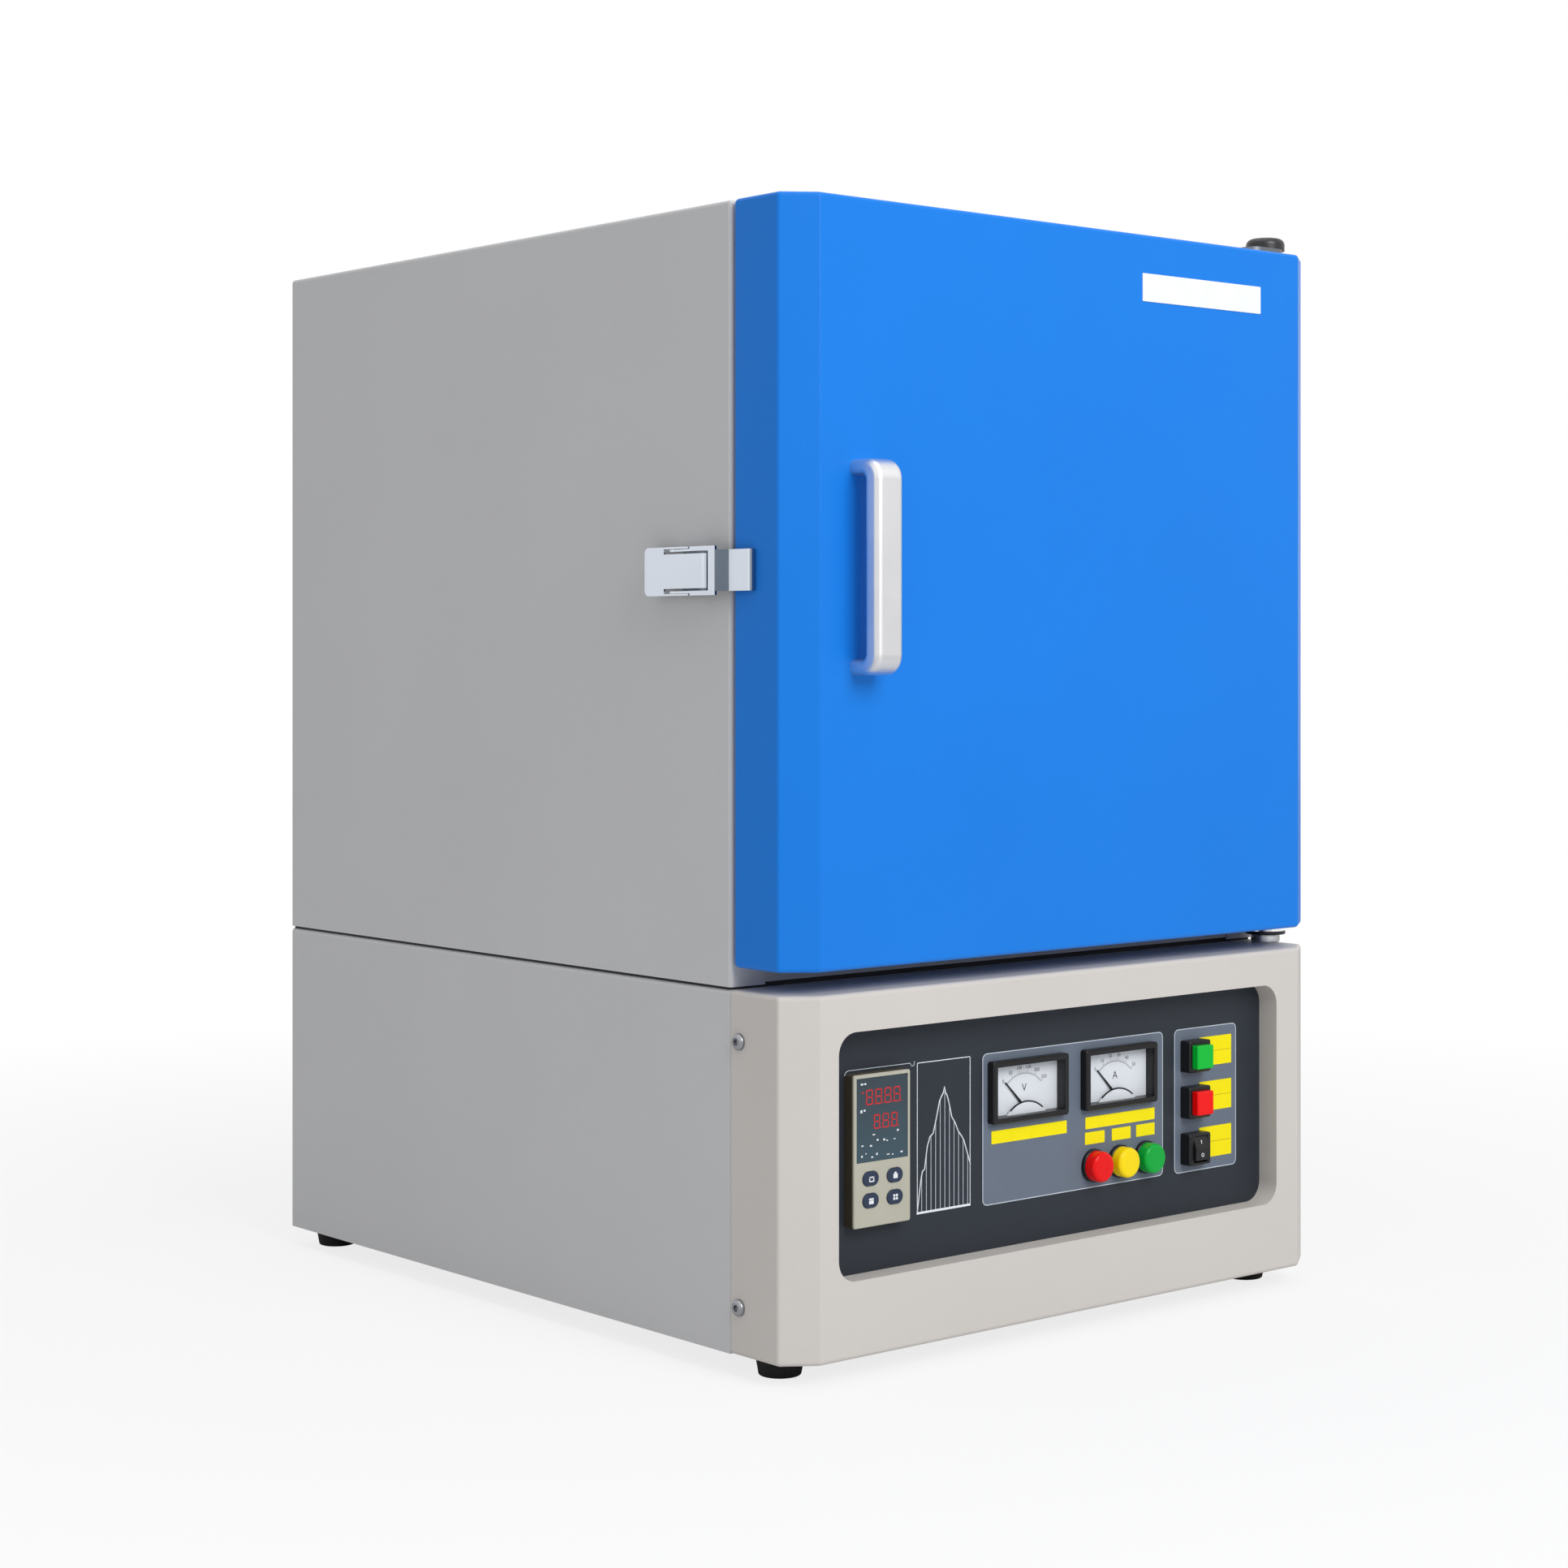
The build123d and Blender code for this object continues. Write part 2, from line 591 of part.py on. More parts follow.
def upper_shell():
    """Sides and top of the upper casing with a front flange turned in behind the door."""
    z = (UPPER_BASE, UPPER_TOP)
    outer = block((-HALF_WIDTH, HALF_WIDTH), (0, CASE_DEPTH), z)
    bends = outer.edges().filter_by(Axis.Y).group_by(Axis.Z)[-1] + outer.faces().sort_by(Axis.Y)[0].edges()
    bends = [edge for edge in bends if edge.center().Z > z[0] + BEND]
    outer = fillet(bends, BEND)
    hollow = block((-INNER_HALF, INNER_HALF), (SHEET, CASE_DEPTH + BEND), (z[0] - BEND, z[1] - SHEET))
    inner_bends = hollow.edges().filter_by(Axis.Y).group_by(Axis.Z)[-1]
    inner_bends += hollow.faces().sort_by(Axis.Y)[0].edges().sort_by(Axis.Z)[1:]
    hollow = fillet(inner_bends, BEND - SHEET)
    doorway = block((FLANGE - HALF_WIDTH, HALF_WIDTH - FLANGE), (-SHEET, 2 * SHEET), (z[0] - BEND, z[1] - FLANGE))
    shell = outer - hollow - doorway
    for point, direction in bracket_screw_points():
        shell -= screw_hole(point, direction, 4 * BRACKET_THICKNESS)
    return shell


def upper_front_frame():
    """Plate behind the front flange that frames the furnace mouth, with a lip turned in round it."""
    y = (SHEET, 2 * SHEET)
    half_plate = INNER_HALF - SHEET
    plate = block((-half_plate, half_plate), y, (DECK_FLOOR, UPPER_TOP - 2 * SHEET))
    half = MOUTH_FRONT / 2
    x, z = around((0, MOUTH_LEVEL), half, half)
    return plate - block(x, (0, 3 * SHEET), z)


def upper_rear_cover():
    """Rear of the upper casing with two columns of louvres."""
    middle = (UPPER_BASE + UPPER_TOP) / 2
    span = (UPPER_LOUVRES - 1) * LOUVRE_PITCH
    rows = [middle - span / 2 + row * LOUVRE_PITCH for row in range(UPPER_LOUVRES)]
    centres = [(side * CASE_WIDTH / 4, z) for side in (-1, 1) for z in rows]
    panel = rear_panel((DECK_FLOOR, UPPER_TOP - SHEET), centres)
    for point, direction in rear_cover_points(UPPER_BASE, UPPER_TOP - SHEET):
        panel -= screw_hole(point, direction, 6 * SHEET)
    return panel


def upper_base_plate():
    """Double floor of the upper casing, with side rims that carry the wrap above the seam."""
    plate = block((-INNER_HALF, INNER_HALF), (SHEET, REAR_SKIN), (LOWER_TOP, DECK_FLOOR))
    plate = chamfer(plate.edges().filter_by(Axis.Z).group_by(Axis.Y)[0], BEND - SHEET)
    for side in (-1, 1):
        x = sorted((side * INNER_HALF, side * (INNER_HALF - SHEET)))
        plate += block(x, (2 * SHEET, REAR_SKIN), (DECK_FLOOR, DECK_FLOOR + TRAY_RIM))
    return plate


def hairpin_places():
    """Plan places of the rods: for each element its side and the y of its two legs."""
    x = CHAMBER_HALF - HAIRPIN_FROM_WALL
    middles = (CHAMBER_FRONT + CHAMBER_DEPTH / 4, CHAMBER_FRONT + CHAMBER_DEPTH * 3 / 4)
    return [(side * x, middle - HAIRPIN_SPACING / 2, middle + HAIRPIN_SPACING / 2)
            for side in (-1, 1) for middle in middles]


def rod_holes(z):
    """Holes for the cold ends of the elements between two levels."""
    holes = Part()
    for x, near, far in hairpin_places():
        for y in (near, far):
            holes += rod((x, y, z[0]), (x, y, z[1]), COLD_RADIUS + ROD_CLEARANCE)
    return holes


def sheath_axis():
    """Height of the thermocouple, which lies on the middle plane."""
    return CHAMBER_CEILING - SHEATH_DROP


def sheath_hole():
    z = sheath_axis()
    return rod((0, CHAMBER_BACK - 1, z), (0, BACKING_END + 1, z), SHEATH_RADIUS + ROD_CLEARANCE)


def chamber_floor():
    """Floor board of the chamber."""
    return block((-BOARD_HALF, BOARD_HALF), (CHAMBER_FRONT, BACK_BOARD_END), (CHAMBER_FLOOR - FLOOR_BOARD, CHAMBER_FLOOR))


def chamber_roof():
    """Roof board, bored for the heating elements."""
    z = (CHAMBER_CEILING, ROOF_TOP)
    return block((-BOARD_HALF, BOARD_HALF), (CHAMBER_FRONT, BACK_BOARD_END), z) - rod_holes(z)


def chamber_walls():
    """Left, right and back boards of the chamber."""
    z = (CHAMBER_FLOOR, CHAMBER_CEILING)
    sides = [block(sorted((side * CHAMBER_HALF, side * BOARD_HALF)), (CHAMBER_FRONT, BACK_BOARD_END), z)
             for side in (-1, 1)]
    back = block((-CHAMBER_HALF, CHAMBER_HALF), (CHAMBER_BACK, BACK_BOARD_END), z) - sheath_hole()
    return group(*sides, back)


def mouth_taper(front_side, back_side, y):
    """A square bar that narrows from one y to the other, centred on the mouth."""
    ends = [facing((0, place, MOUTH_LEVEL), (0, 1, 0)) * Rectangle(side, side)
            for place, side in ((y[0], front_side), (y[1], back_side))]
    return loft(ends)


def mouth_collar():
    """Ceramic collar round the mouth, with a taper that the door plug seats in."""
    y = (LINING_FRONT, CHAMBER_FRONT)
    collar = block((-BOARD_HALF, BOARD_HALF), y, (CHAMBER_FLOOR - FLOOR_BOARD, ROOF_TOP))
    return collar - mouth_taper(MOUTH_FRONT, MOUTH_BACK, y)


def backing_boards():
    """Outer insulation: floor, roof, sides and rear, laid against each other."""
    x = (-BACKING_HALF, BACKING_HALF)
    y = (LINING_FRONT, BACKING_END)
    middle = (CHAMBER_FLOOR - FLOOR_BOARD, ROOF_TOP)
    roof_z = (ROOF_TOP, BACKING_TOP)
    floor = block(x, y, (DECK_FLOOR, middle[0]))
    roof = block(x, y, roof_z) - rod_holes(roof_z)
    sides = [block(sorted((side * BOARD_HALF, side * BACKING_HALF)), y, middle) for side in (-1, 1)]
    rear = block((-BOARD_HALF, BOARD_HALF), (BACK_BOARD_END, BACKING_END), middle) - sheath_hole()
    return group(floor, roof, *sides, rear)


def hearth_plate():
    """Loose ceramic tile that the ware stands on, with softened edges."""
    side = MOUTH_BACK / 2 - HEARTH_MARGIN
    y = (CHAMBER_FRONT + HEARTH_MARGIN, CHAMBER_BACK - HEARTH_MARGIN)
    tile = block((-side, side), y, (CHAMBER_FLOOR, CHAMBER_FLOOR + HEARTH_THICKNESS))
    return chamfer(tile.faces().sort_by(Axis.Z)[-1].edges(), HEARTH_THICKNESS / 5)


def hairpin(x, near, far):
    """One hairpin element: thin hot legs joined by a bend, and thick cold ends through the roof."""
    low = CHAMBER_FLOOR + HAIRPIN_LIFT + HAIRPIN_SPACING / 2
    join = CHAMBER_CEILING - COLD_DIP
    top = BACKING_TOP + COLD_STAND
    left = Line((x, near, join), (x, near, low))
    bend = ThreePointArc((x, near, low), (x, (near + far) / 2, low - HAIRPIN_SPACING / 2), (x, far, low))
    right = Line((x, far, low), (x, far, join))
    path = Wire([left, bend, right])
    hot = sweep(Plane(origin=(x, near, join), z_dir=(0, 0, -1)) * Circle(HOT_RADIUS), path=path)
    ends = [rod((x, y, join), (x, y, top), COLD_RADIUS) for y in (near, far)]
    return hot + ends[0] + ends[1]


def heating_elements():
    """Four hairpin elements, two along each side wall."""
    return group(*[hairpin(*place) for place in hairpin_places()])


def element_clamps():
    """Ceramic collars on the roof round each cold end, and aluminium straps that join them in series."""
    pieces = []
    top = BACKING_TOP + COLD_STAND
    for x, near, far in hairpin_places():
        for y in (near, far):
            collar = rod((x, y, BACKING_TOP), (x, y, BACKING_TOP + CLAMP_HEIGHT), CLAMP_RADIUS)
            pieces.append(collar - rod((x, y, BACKING_TOP - 1), (x, y, top), COLD_RADIUS + PIN_CLEARANCE))
    strap_base = top - STRAP_WIDTH
    for x in (-CHAMBER_HALF + HAIRPIN_FROM_WALL, CHAMBER_HALF - HAIRPIN_FROM_WALL):
        places = [place for place in hairpin_places() if place[0] == x]
        near, far = places[0][2], places[1][1]
        edge = COLD_RADIUS + STRAP_THICKNESS
        strap = block((x - edge, x + edge), (near - edge, far + edge), (strap_base, top))
        waist = block((x - edge - 1, x + edge + 1), (near + edge, far - edge),
                      (strap_base + STRAP_THICKNESS, top + 1))
        strap = strap - waist
        for y in (near, far):
            strap -= rod((x, y, strap_base - 1), (x, y, top + 1), COLD_RADIUS + PIN_CLEARANCE)
        pieces.append(strap)
    return group(*pieces)


def thermocouple():
    """Ceramic sheath through the back of the chamber and its connection head on the backing."""
    z = sheath_axis()
    sheath = rod((0, CHAMBER_BACK - SHEATH_REACH, z), (0, BACKING_END, z), SHEATH_RADIUS)
    sheath = fillet(sheath.edges().filter_by(GeomType.CIRCLE).group_by(Axis.Y)[0], SHEATH_RADIUS * 0.6)
    head = rod((0, BACKING_END, z), (0, BACKING_END + HEAD_LENGTH, z), HEAD_RADIUS)
    head = fillet(head.edges().filter_by(GeomType.CIRCLE).group_by(Axis.Y)[-1], HEAD_LENGTH / 8)
    return group(sheath, head)


# Electrics

def transformer():
    """Laminated core with a coil on its middle limb, on two mounting rails."""
    x = CORE_FROM_LEFT - HALF_WIDTH
    y = CORE_FROM_FRONT
    base = PAN_FLOOR + SHEET_GAP
    core = block((x - CORE_WIDTH / 2, x + CORE_WIDTH / 2), (y - CORE_DEPTH / 2, y + CORE_DEPTH / 2),
                 (base, base + CORE_HEIGHT))
    window_z = (base + CORE_LIMB, base + CORE_HEIGHT - CORE_LIMB)
    limb = CORE_LIMB
    for side in (-1, 1):
        window_x = sorted((x + side * limb, x + side * (CORE_WIDTH / 2 - limb)))
        core -= block(window_x, (y - CORE_DEPTH, y + CORE_DEPTH), window_z)
    outer_x = CORE_WIDTH / 2 - limb - SHEET_GAP
    coil_z = (window_z[0] + SHEET_GAP, window_z[1] - SHEET_GAP)
    coil = block((x - outer_x, x + outer_x), (y - CORE_DEPTH / 2 - COIL_SWELL, y + CORE_DEPTH / 2 + COIL_SWELL), coil_z)
    coil = fillet(coil.edges().filter_by(Axis.Z), COIL_SWELL * 0.6)
    gap = limb + SHEET_GAP
    coil -= block((x - gap, x + gap), (y - CORE_DEPTH / 2 - SHEET_GAP, y + CORE_DEPTH / 2 + SHEET_GAP),
                  (base, base + CORE_HEIGHT))
    return group(core, coil)


def power_regulator():
    """Finned heat sink with the power module on top."""
    x, y = HALF_WIDTH - REGULATOR_FROM_RIGHT, REGULATOR_FROM_FRONT
    base = PAN_FLOOR + SHEET_GAP
    top = base + SINK_FIN_HEIGHT
    plate = block((x - SINK_WIDTH / 2, x + SINK_WIDTH / 2), (y - SINK_LENGTH / 2, y + SINK_LENGTH / 2),
                  (top, top + SINK_BASE))
    pitch = (SINK_WIDTH - SINK_FIN) / (SINK_FINS - 1)
    for fin in range(SINK_FINS):
        start = x - SINK_WIDTH / 2 + fin * pitch
        plate += block((start, start + SINK_FIN), (y - SINK_LENGTH / 2, y + SINK_LENGTH / 2), (base, top))
    width, length, height = MODULE_SIZE
    floor = top + SINK_BASE
    module = block((x - width / 2, x + width / 2), (y - length / 2, y + length / 2), (floor, floor + height))
    module = chamfer(module.faces().sort_by(Axis.Z)[-1].edges().filter_by(Axis.Y), height / 4)
    return group(plate, module)


def contactor():
    """Contactor with a stepped front."""
    x, y = HALF_WIDTH - CONTACTOR_FROM_RIGHT, CONTACTOR_FROM_FRONT
    width, length, height = CONTACTOR_SIZE
    base = PAN_FLOOR + SHEET_GAP
    body = block((x - width / 2, x + width / 2), (y - length / 2, y + length / 2), (base, base + height))
    step = block((x - width / 2, x + width / 2), (y - length / 4, y + length / 4),
                 (base + height, base + height + CONTACTOR_STEP))
    return body + step


def fan_frame():
    """Square fan housing behind the grille, with a spider that carries the rotor."""
    x, z = fan_centre()
    y = (REAR_SKIN - FAN_DEPTH, REAR_SKIN)
    limits = around((x, z), FAN_SIDE / 2, FAN_SIDE / 2)
    frame = upright_slab(*limits, FAN_CORNER, y)
    frame -= rod((x, y[0] - 1, z), (x, y[1] + 1, z), FAN_RADIUS + FAN_TIP_CLEARANCE)
    spider = Part()
    for turn in (0, 90):
        spider += Rot(0, turn, 0) * Box(2 * FAN_RADIUS + 4, 2 * SHEET, GRILLE_SPOKE)
    spider += Rot(90, 0, 0) * Cylinder(FAN_HUB_RADIUS, 2 * SHEET)
    frame += Pos(x, y[0] + SHEET, z) * spider
    spindle = rod((x, y[0], z), (x, y[1] - 2 * SHEET, z), FAN_SPINDLE_RADIUS)
    return frame + spindle


def fan_rotor():
    """Hub with pitched blades, turning on the spindle of the fan frame."""
    x, z = fan_centre()
    start = REAR_SKIN - FAN_DEPTH + 2 * SHEET + SHEET_GAP
    length = FAN_DEPTH - 4 * SHEET
    hub = Cylinder(FAN_HUB_RADIUS, length)
    hub = fillet(hub.faces().sort_by(Axis.Z)[-1].edges(), SHEET)
    reach = FAN_RADIUS - FAN_HUB_RADIUS + 2
    blade = Box(reach, FAN_BLADE_THICKNESS, length * 1.1)
    blade = Pos(FAN_HUB_RADIUS + reach / 2 - 2, 0, 0) * Rot(FAN_BLADE_PITCH, 0, 0) * blade
    blade &= Cylinder(FAN_RADIUS, length)
    for number in range(FAN_BLADES):
        hub += Rot(0, 0, number * 360 / FAN_BLADES) * blade
    hub -= Cylinder(FAN_SPINDLE_RADIUS + PIN_CLEARANCE, 2 * length)
    return facing((x, start + length / 2, z), (0, 1, 0)) * hub


# Door

def door_shell():
    """Folded door pan with cut front corners and a return flange round its open back."""
    z = (DOOR_BASE, DOOR_TOP)
    outer = faceted_block(0, -DOOR_GAP, z)
    outer = fillet(outer.edges(), BEND)
    hollow = faceted_block(SHEET, -DOOR_GAP - SHEET, (z[0] + SHEET, z[1] - SHEET))
    hollow = fillet(hollow.edges(), BEND - SHEET)
    opening = block((DOOR_RETURN - HALF_WIDTH, HALF_WIDTH - DOOR_RETURN), (-DOOR_GAP - 2 * SHEET, 0),
                    (z[0] + DOOR_RETURN, z[1] - DOOR_RETURN))
    shell = outer - hollow - opening
    for low in (z[0] - SHEET, z[1] - 2 * SHEET):
        shell -= rod((HINGE_X, HINGE_Y, low), (HINGE_X, HINGE_Y, low + 3 * SHEET), PIN_RADIUS + CUTOUT_CLEARANCE)
    return shell


def door_back_plate():
    """Plate that closes the back of the pan behind its return flange, cut out for the plug."""
    margin = SHEET + BEND
    y = (-DOOR_GAP - 2 * SHEET, -DOOR_GAP - SHEET)
    left = margin - HALF_WIDTH
    plate = block((left, HINGE_X - BLOCK_SIDE / 2 - SHEET), y, (DOOR_BASE + margin, DOOR_TOP - margin))
    half = plug_side() / 2 + SHEET_GAP
    x, z = around((0, MOUTH_LEVEL), half, half)
    return plate - block(x, (y[0] - 1, y[1] + 1), z)


def door_insulation():
    """Fibre board that fills the door pan."""
    gap = SHEET + BOARD_CLEARANCE
    board = faceted_block(gap, DOOR_BACK - SHEET_GAP, (DOOR_BASE + gap, DOOR_TOP - gap))
    board = chamfer(board.edges(), BEND / 2)
    cut_x = (HINGE_X - BLOCK_SIDE / 2 - gap, HALF_WIDTH)
    cut_y = (HINGE_Y - BLOCK_DEPTH / 2 - gap, 0)
    height = PIN_DEPTH + 3 * SHEET + gap
    for z in ((DOOR_BASE, DOOR_BASE + height), (DOOR_TOP - height, DOOR_TOP)):
        board -= block(cut_x, cut_y, z)
    return board


def plug_side():
    """Side of the square plug at the door."""
    return MOUTH_FRONT - 2 * PLUG_CLEARANCE


def door_plug():
    """Tapered ceramic plug that closes the mouth."""
    y = (DOOR_BACK, PLUG_DEPTH)
    plug = mouth_taper(plug_side(), plug_side() - 2 * PLUG_TAPER, y)
    return chamfer(plug.faces().sort_by(Axis.Y)[-1].edges(), BEND)


def door_gasket():
    """Ceramic rope in a square ring round the plug."""
    y = (-DOOR_GAP - SHEET, SHEET - GASKET_CLEARANCE)
    inner = plug_side() / 2 + GASKET_INSET
    outer = inner + GASKET_WIDTH
    ring = upright_slab(*around((0, MOUTH_LEVEL), outer, outer), GASKET_WIDTH * 1.5, y)
    ring -= upright_slab(*around((0, MOUTH_LEVEL), inner, inner), GASKET_WIDTH * 0.5, (y[0] - 1, y[1] + 1))
    return fillet(ring.faces().sort_by(Axis.Y)[-1].edges(), (y[1] - y[0]) * 0.45)


def hinge_blocks():
    """Steel blocks inside the two right-hand corners of the door, bored for the pivot pins."""
    blocks = []
    x = (HINGE_X - BLOCK_SIDE / 2, INNER_HALF)
    y = (HINGE_Y - BLOCK_DEPTH / 2, min(HINGE_Y + BLOCK_DEPTH / 2, -DOOR_GAP - SHEET))
    height = PIN_DEPTH + 3 * SHEET
    for low in (DOOR_BASE + SHEET, DOOR_TOP - SHEET - height):
        piece = block(x, y, (low, low + height))
        piece = chamfer(piece.edges(), BEND / 2)
        blocks.append(piece)
    depth = PIN_DEPTH + SHEET
    radius = PIN_RADIUS + PIN_CLEARANCE
    blocks[0] -= rod((HINGE_X, HINGE_Y, DOOR_BASE), (HINGE_X, HINGE_Y, DOOR_BASE + depth), radius)
    blocks[1] -= rod((HINGE_X, HINGE_Y, DOOR_TOP - depth), (HINGE_X, HINGE_Y, DOOR_TOP), radius)
    return group(*blocks)


def hinge_pins():
    """Lower pin with its bush, washer and the plate under the ledge, and upper pin under a domed cap."""
    washer_base = LOWER_TOP + COLLAR_HEIGHT
    lower = rod((0, 0, LOWER_TOP - 2 * SHEET), (0, 0, DOOR_BASE + PIN_DEPTH), PIN_RADIUS)
    bush = rod((0, 0, LOWER_TOP), (0, 0, washer_base), COLLAR_RADIUS)
    bush = chamfer(bush.edges().filter_by(GeomType.CIRCLE), 1.0)
    washer = rod((0, 0, washer_base), (0, 0, washer_base + WASHER_HEIGHT), WASHER_RADIUS)
    washer = fillet(washer.edges().filter_by(GeomType.CIRCLE), WASHER_HEIGHT * 0.3)
    lower = lower + bush + washer
    base = block((-BLOCK_SIDE / 2, INNER_HALF - HINGE_X), (-BLOCK_DEPTH / 2, BLOCK_DEPTH / 2),
                 (LOWER_TOP - SHEET - PIVOT_PLATE, LOWER_TOP - SHEET))
    lower += chamfer(base.edges(), BEND / 2)
    plate_top = UPPER_TOP + BRACKET_STEP + BRACKET_THICKNESS
    upper = rod((0, 0, DOOR_TOP - PIN_DEPTH), (0, 0, plate_top), PIN_RADIUS)
    cap = rod((0, 0, plate_top), (0, 0, plate_top + CAP_HEIGHT), CAP_RADIUS)
    cap = fillet(cap.faces().sort_by(Axis.Z)[-1].edges(), CAP_HEIGHT * 0.55)
    place = Pos(HINGE_X, HINGE_Y, 0)
    return group(place * lower, place * (upper + cap))


def upper_hinge_bracket():
    """Stepped steel arm from the casing top to the upper pin."""
    front = HINGE_Y - CAP_RADIUS - 2
    step_y = -DOOR_GAP
    low, high = UPPER_TOP, UPPER_TOP + BRACKET_STEP
    under = [(BRACKET_LENGTH, low), (BEND, low), (step_y, high), (front, high)]
    over = [(y, z + BRACKET_THICKNESS) for y, z in reversed(under)]
    side = make_face(Plane.YZ * Polyline(*under, *over, close=True))
    right = HALF_WIDTH - BEND
    arm = extrude(Pos(right - BRACKET_WIDTH, 0, 0) * side, BRACKET_WIDTH, dir=(1, 0, 0))
    arm = fillet(arm.edges().filter_by(Axis.Z).group_by(Axis.Y)[0], BRACKET_WIDTH * 0.25)
    for point, direction in bracket_screw_points():
        arm -= screw_hole(point, direction, 6 * SHEET + BRACKET_THICKNESS)
    hole_z = (high - 1, high + BRACKET_THICKNESS + 1)
    return arm - rod((HINGE_X, HINGE_Y, hole_z[0]), (HINGE_X, HINGE_Y, hole_z[1]), PIN_RADIUS + PIN_CLEARANCE)


def door_handle():
    """Bow handle with a deep rounded grip and two thinner legs."""
    front, face = -FRONT_REACH - HANDLE_REACH, -FRONT_REACH
    low, high = HANDLE_LEVEL - HANDLE_LENGTH / 2, HANDLE_LEVEL + HANDLE_LENGTH / 2
    x = HANDLE_FROM_SIDE - HALF_WIDTH
    bow = block((x, x + HANDLE_WIDTH), (front, face), (low, high))
    bow = fillet(bow.edges().filter_by(Axis.X).group_by(Axis.Y)[0], HANDLE_CORNER)
    gap = block((x - 1, x + HANDLE_WIDTH + 1), (front + HANDLE_GRIP, face + 1), (low + HANDLE_LEG, high - HANDLE_LEG))
    gap = fillet(gap.edges().filter_by(Axis.X).group_by(Axis.Y)[0], HANDLE_INNER_CORNER)
    bow -= gap
    rims = bow.faces().sort_by(Axis.X)[0].edges() + bow.faces().sort_by(Axis.X)[-1].edges()
    return fillet([edge for edge in rims if edge.center().Y < face - 0.01], HANDLE_EDGE)


# Draw latch

def latch_place():
    """Frame of the latch: x to the rear, y out of the left side, z up."""
    return Plane(origin=(-HALF_WIDTH, 0, LATCH_LEVEL), x_dir=(0, 1, 0), z_dir=(0, 0, 1))


def mirrored_ears(profile, inner, outer):
    """Two equal cheeks of the given profile, above and below the latch's middle."""
    upper = extrude(Pos(0, 0, inner) * profile, outer - inner)
    lower = extrude(Pos(0, 0, -outer) * profile, outer - inner)
    return upper + lower


def latch_disc(u, h, radius):
    return Pos(u, h) * Circle(radius)


def latch_pin(u, h, half_length, radius):
    return Pos(u, h, 0) * Cylinder(radius, 2 * half_length)


def latch_base():
    """Base plate with two ears, and the pin that the lever turns on."""
    ear_in = TONGUE_HALF_WIDTH + LATCH_SIDE_GAP
    ear_out = ear_in + EAR_THICKNESS
    boss = LATCH_PIN_RADIUS * 1.7
    u = (LEVER_PIVOT_U - 2 * boss, LINK_PIVOT_U - boss)
    plate = block(u, (0, LATCH_SHEET), (-ear_out, ear_out))
    web = Pos(LEVER_PIVOT_U, LEVER_PIVOT_H / 2) * Rectangle(2 * boss, LEVER_PIVOT_H)
    ear = web + latch_disc(LEVER_PIVOT_U, LEVER_PIVOT_H, boss)
    base = plate + mirrored_ears(ear, ear_in, ear_out)
    base -= latch_pin(LEVER_PIVOT_U, LEVER_PIVOT_H, 2 * ear_out, LATCH_PIN_RADIUS)
    pin = latch_pin(LEVER_PIVOT_U, LEVER_PIVOT_H, ear_out, LATCH_PIN_RADIUS)
    place = latch_place()
    return group(place * base, place * pin)


def latch_lever():
    """Lever with a wide finger end, two cheeks and a tongue rolled round the base pin."""
    top = LATCH_STAND
    low = top - LATCH_SHEET
    tongue = block((LEVER_PIVOT_U, LEVER_SHOULDER_U + 1), (low, top), (-TONGUE_HALF_WIDTH, TONGUE_HALF_WIDTH))
    roll = latch_pin(LEVER_PIVOT_U, LEVER_PIVOT_H, TONGUE_HALF_WIDTH, top - LEVER_PIVOT_H)
    finger = block((LEVER_SHOULDER_U, LEVER_END_U), (low, top), (-LEVER_HALF_WIDTH, LEVER_HALF_WIDTH))
    finger = fillet(finger.edges().filter_by(Axis.Y).group_by(Axis.X)[-1], 4.0)
    boss = LINK_PIN_RADIUS + 2.1
    cheek = Pos((CHEEK_FRONT_U + CHEEK_REAR_U) / 2, (LINK_PIVOT_H - 1 + top) / 2) * Rectangle(
        CHEEK_REAR_U - CHEEK_FRONT_U, top - LINK_PIVOT_H + 1)
    cheek += latch_disc(LINK_PIVOT_U, LINK_PIVOT_H, boss)
    cheeks = mirrored_ears(cheek, LEVER_HALF_WIDTH - CHEEK_THICKNESS, LEVER_HALF_WIDTH)
    lever = tongue + roll + finger + cheeks
    lever -= latch_pin(LEVER_PIVOT_U, LEVER_PIVOT_H, 2 * LEVER_HALF_WIDTH, LATCH_PIN_RADIUS + LATCH_RUNNING)
    lever -= latch_pin(LINK_PIVOT_U, LINK_PIVOT_H, 2 * LEVER_HALF_WIDTH, LINK_PIN_RADIUS)
    return latch_place() * lever


def arm_limits():
    """Inner and outer faces of the hook's arms, between the base ears and the lever's cheeks."""
    outer = LEVER_HALF_WIDTH - CHEEK_THICKNESS - LATCH_SIDE_GAP
    return outer - ARM_THICKNESS, outer


def latch_link_pins():
    """Short brass pins that join the hook's arms to the lever's cheeks."""
    inner = arm_limits()[0] - LATCH_SIDE_GAP / 2
    pins = [Pos(LINK_PIVOT_U, LINK_PIVOT_H, side * (inner + LEVER_HALF_WIDTH) / 2)
            * Cylinder(LINK_PIN_RADIUS, LEVER_HALF_WIDTH - inner) for side in (-1, 1)]
    place = latch_place()
    return group(*[place * pin for pin in pins])


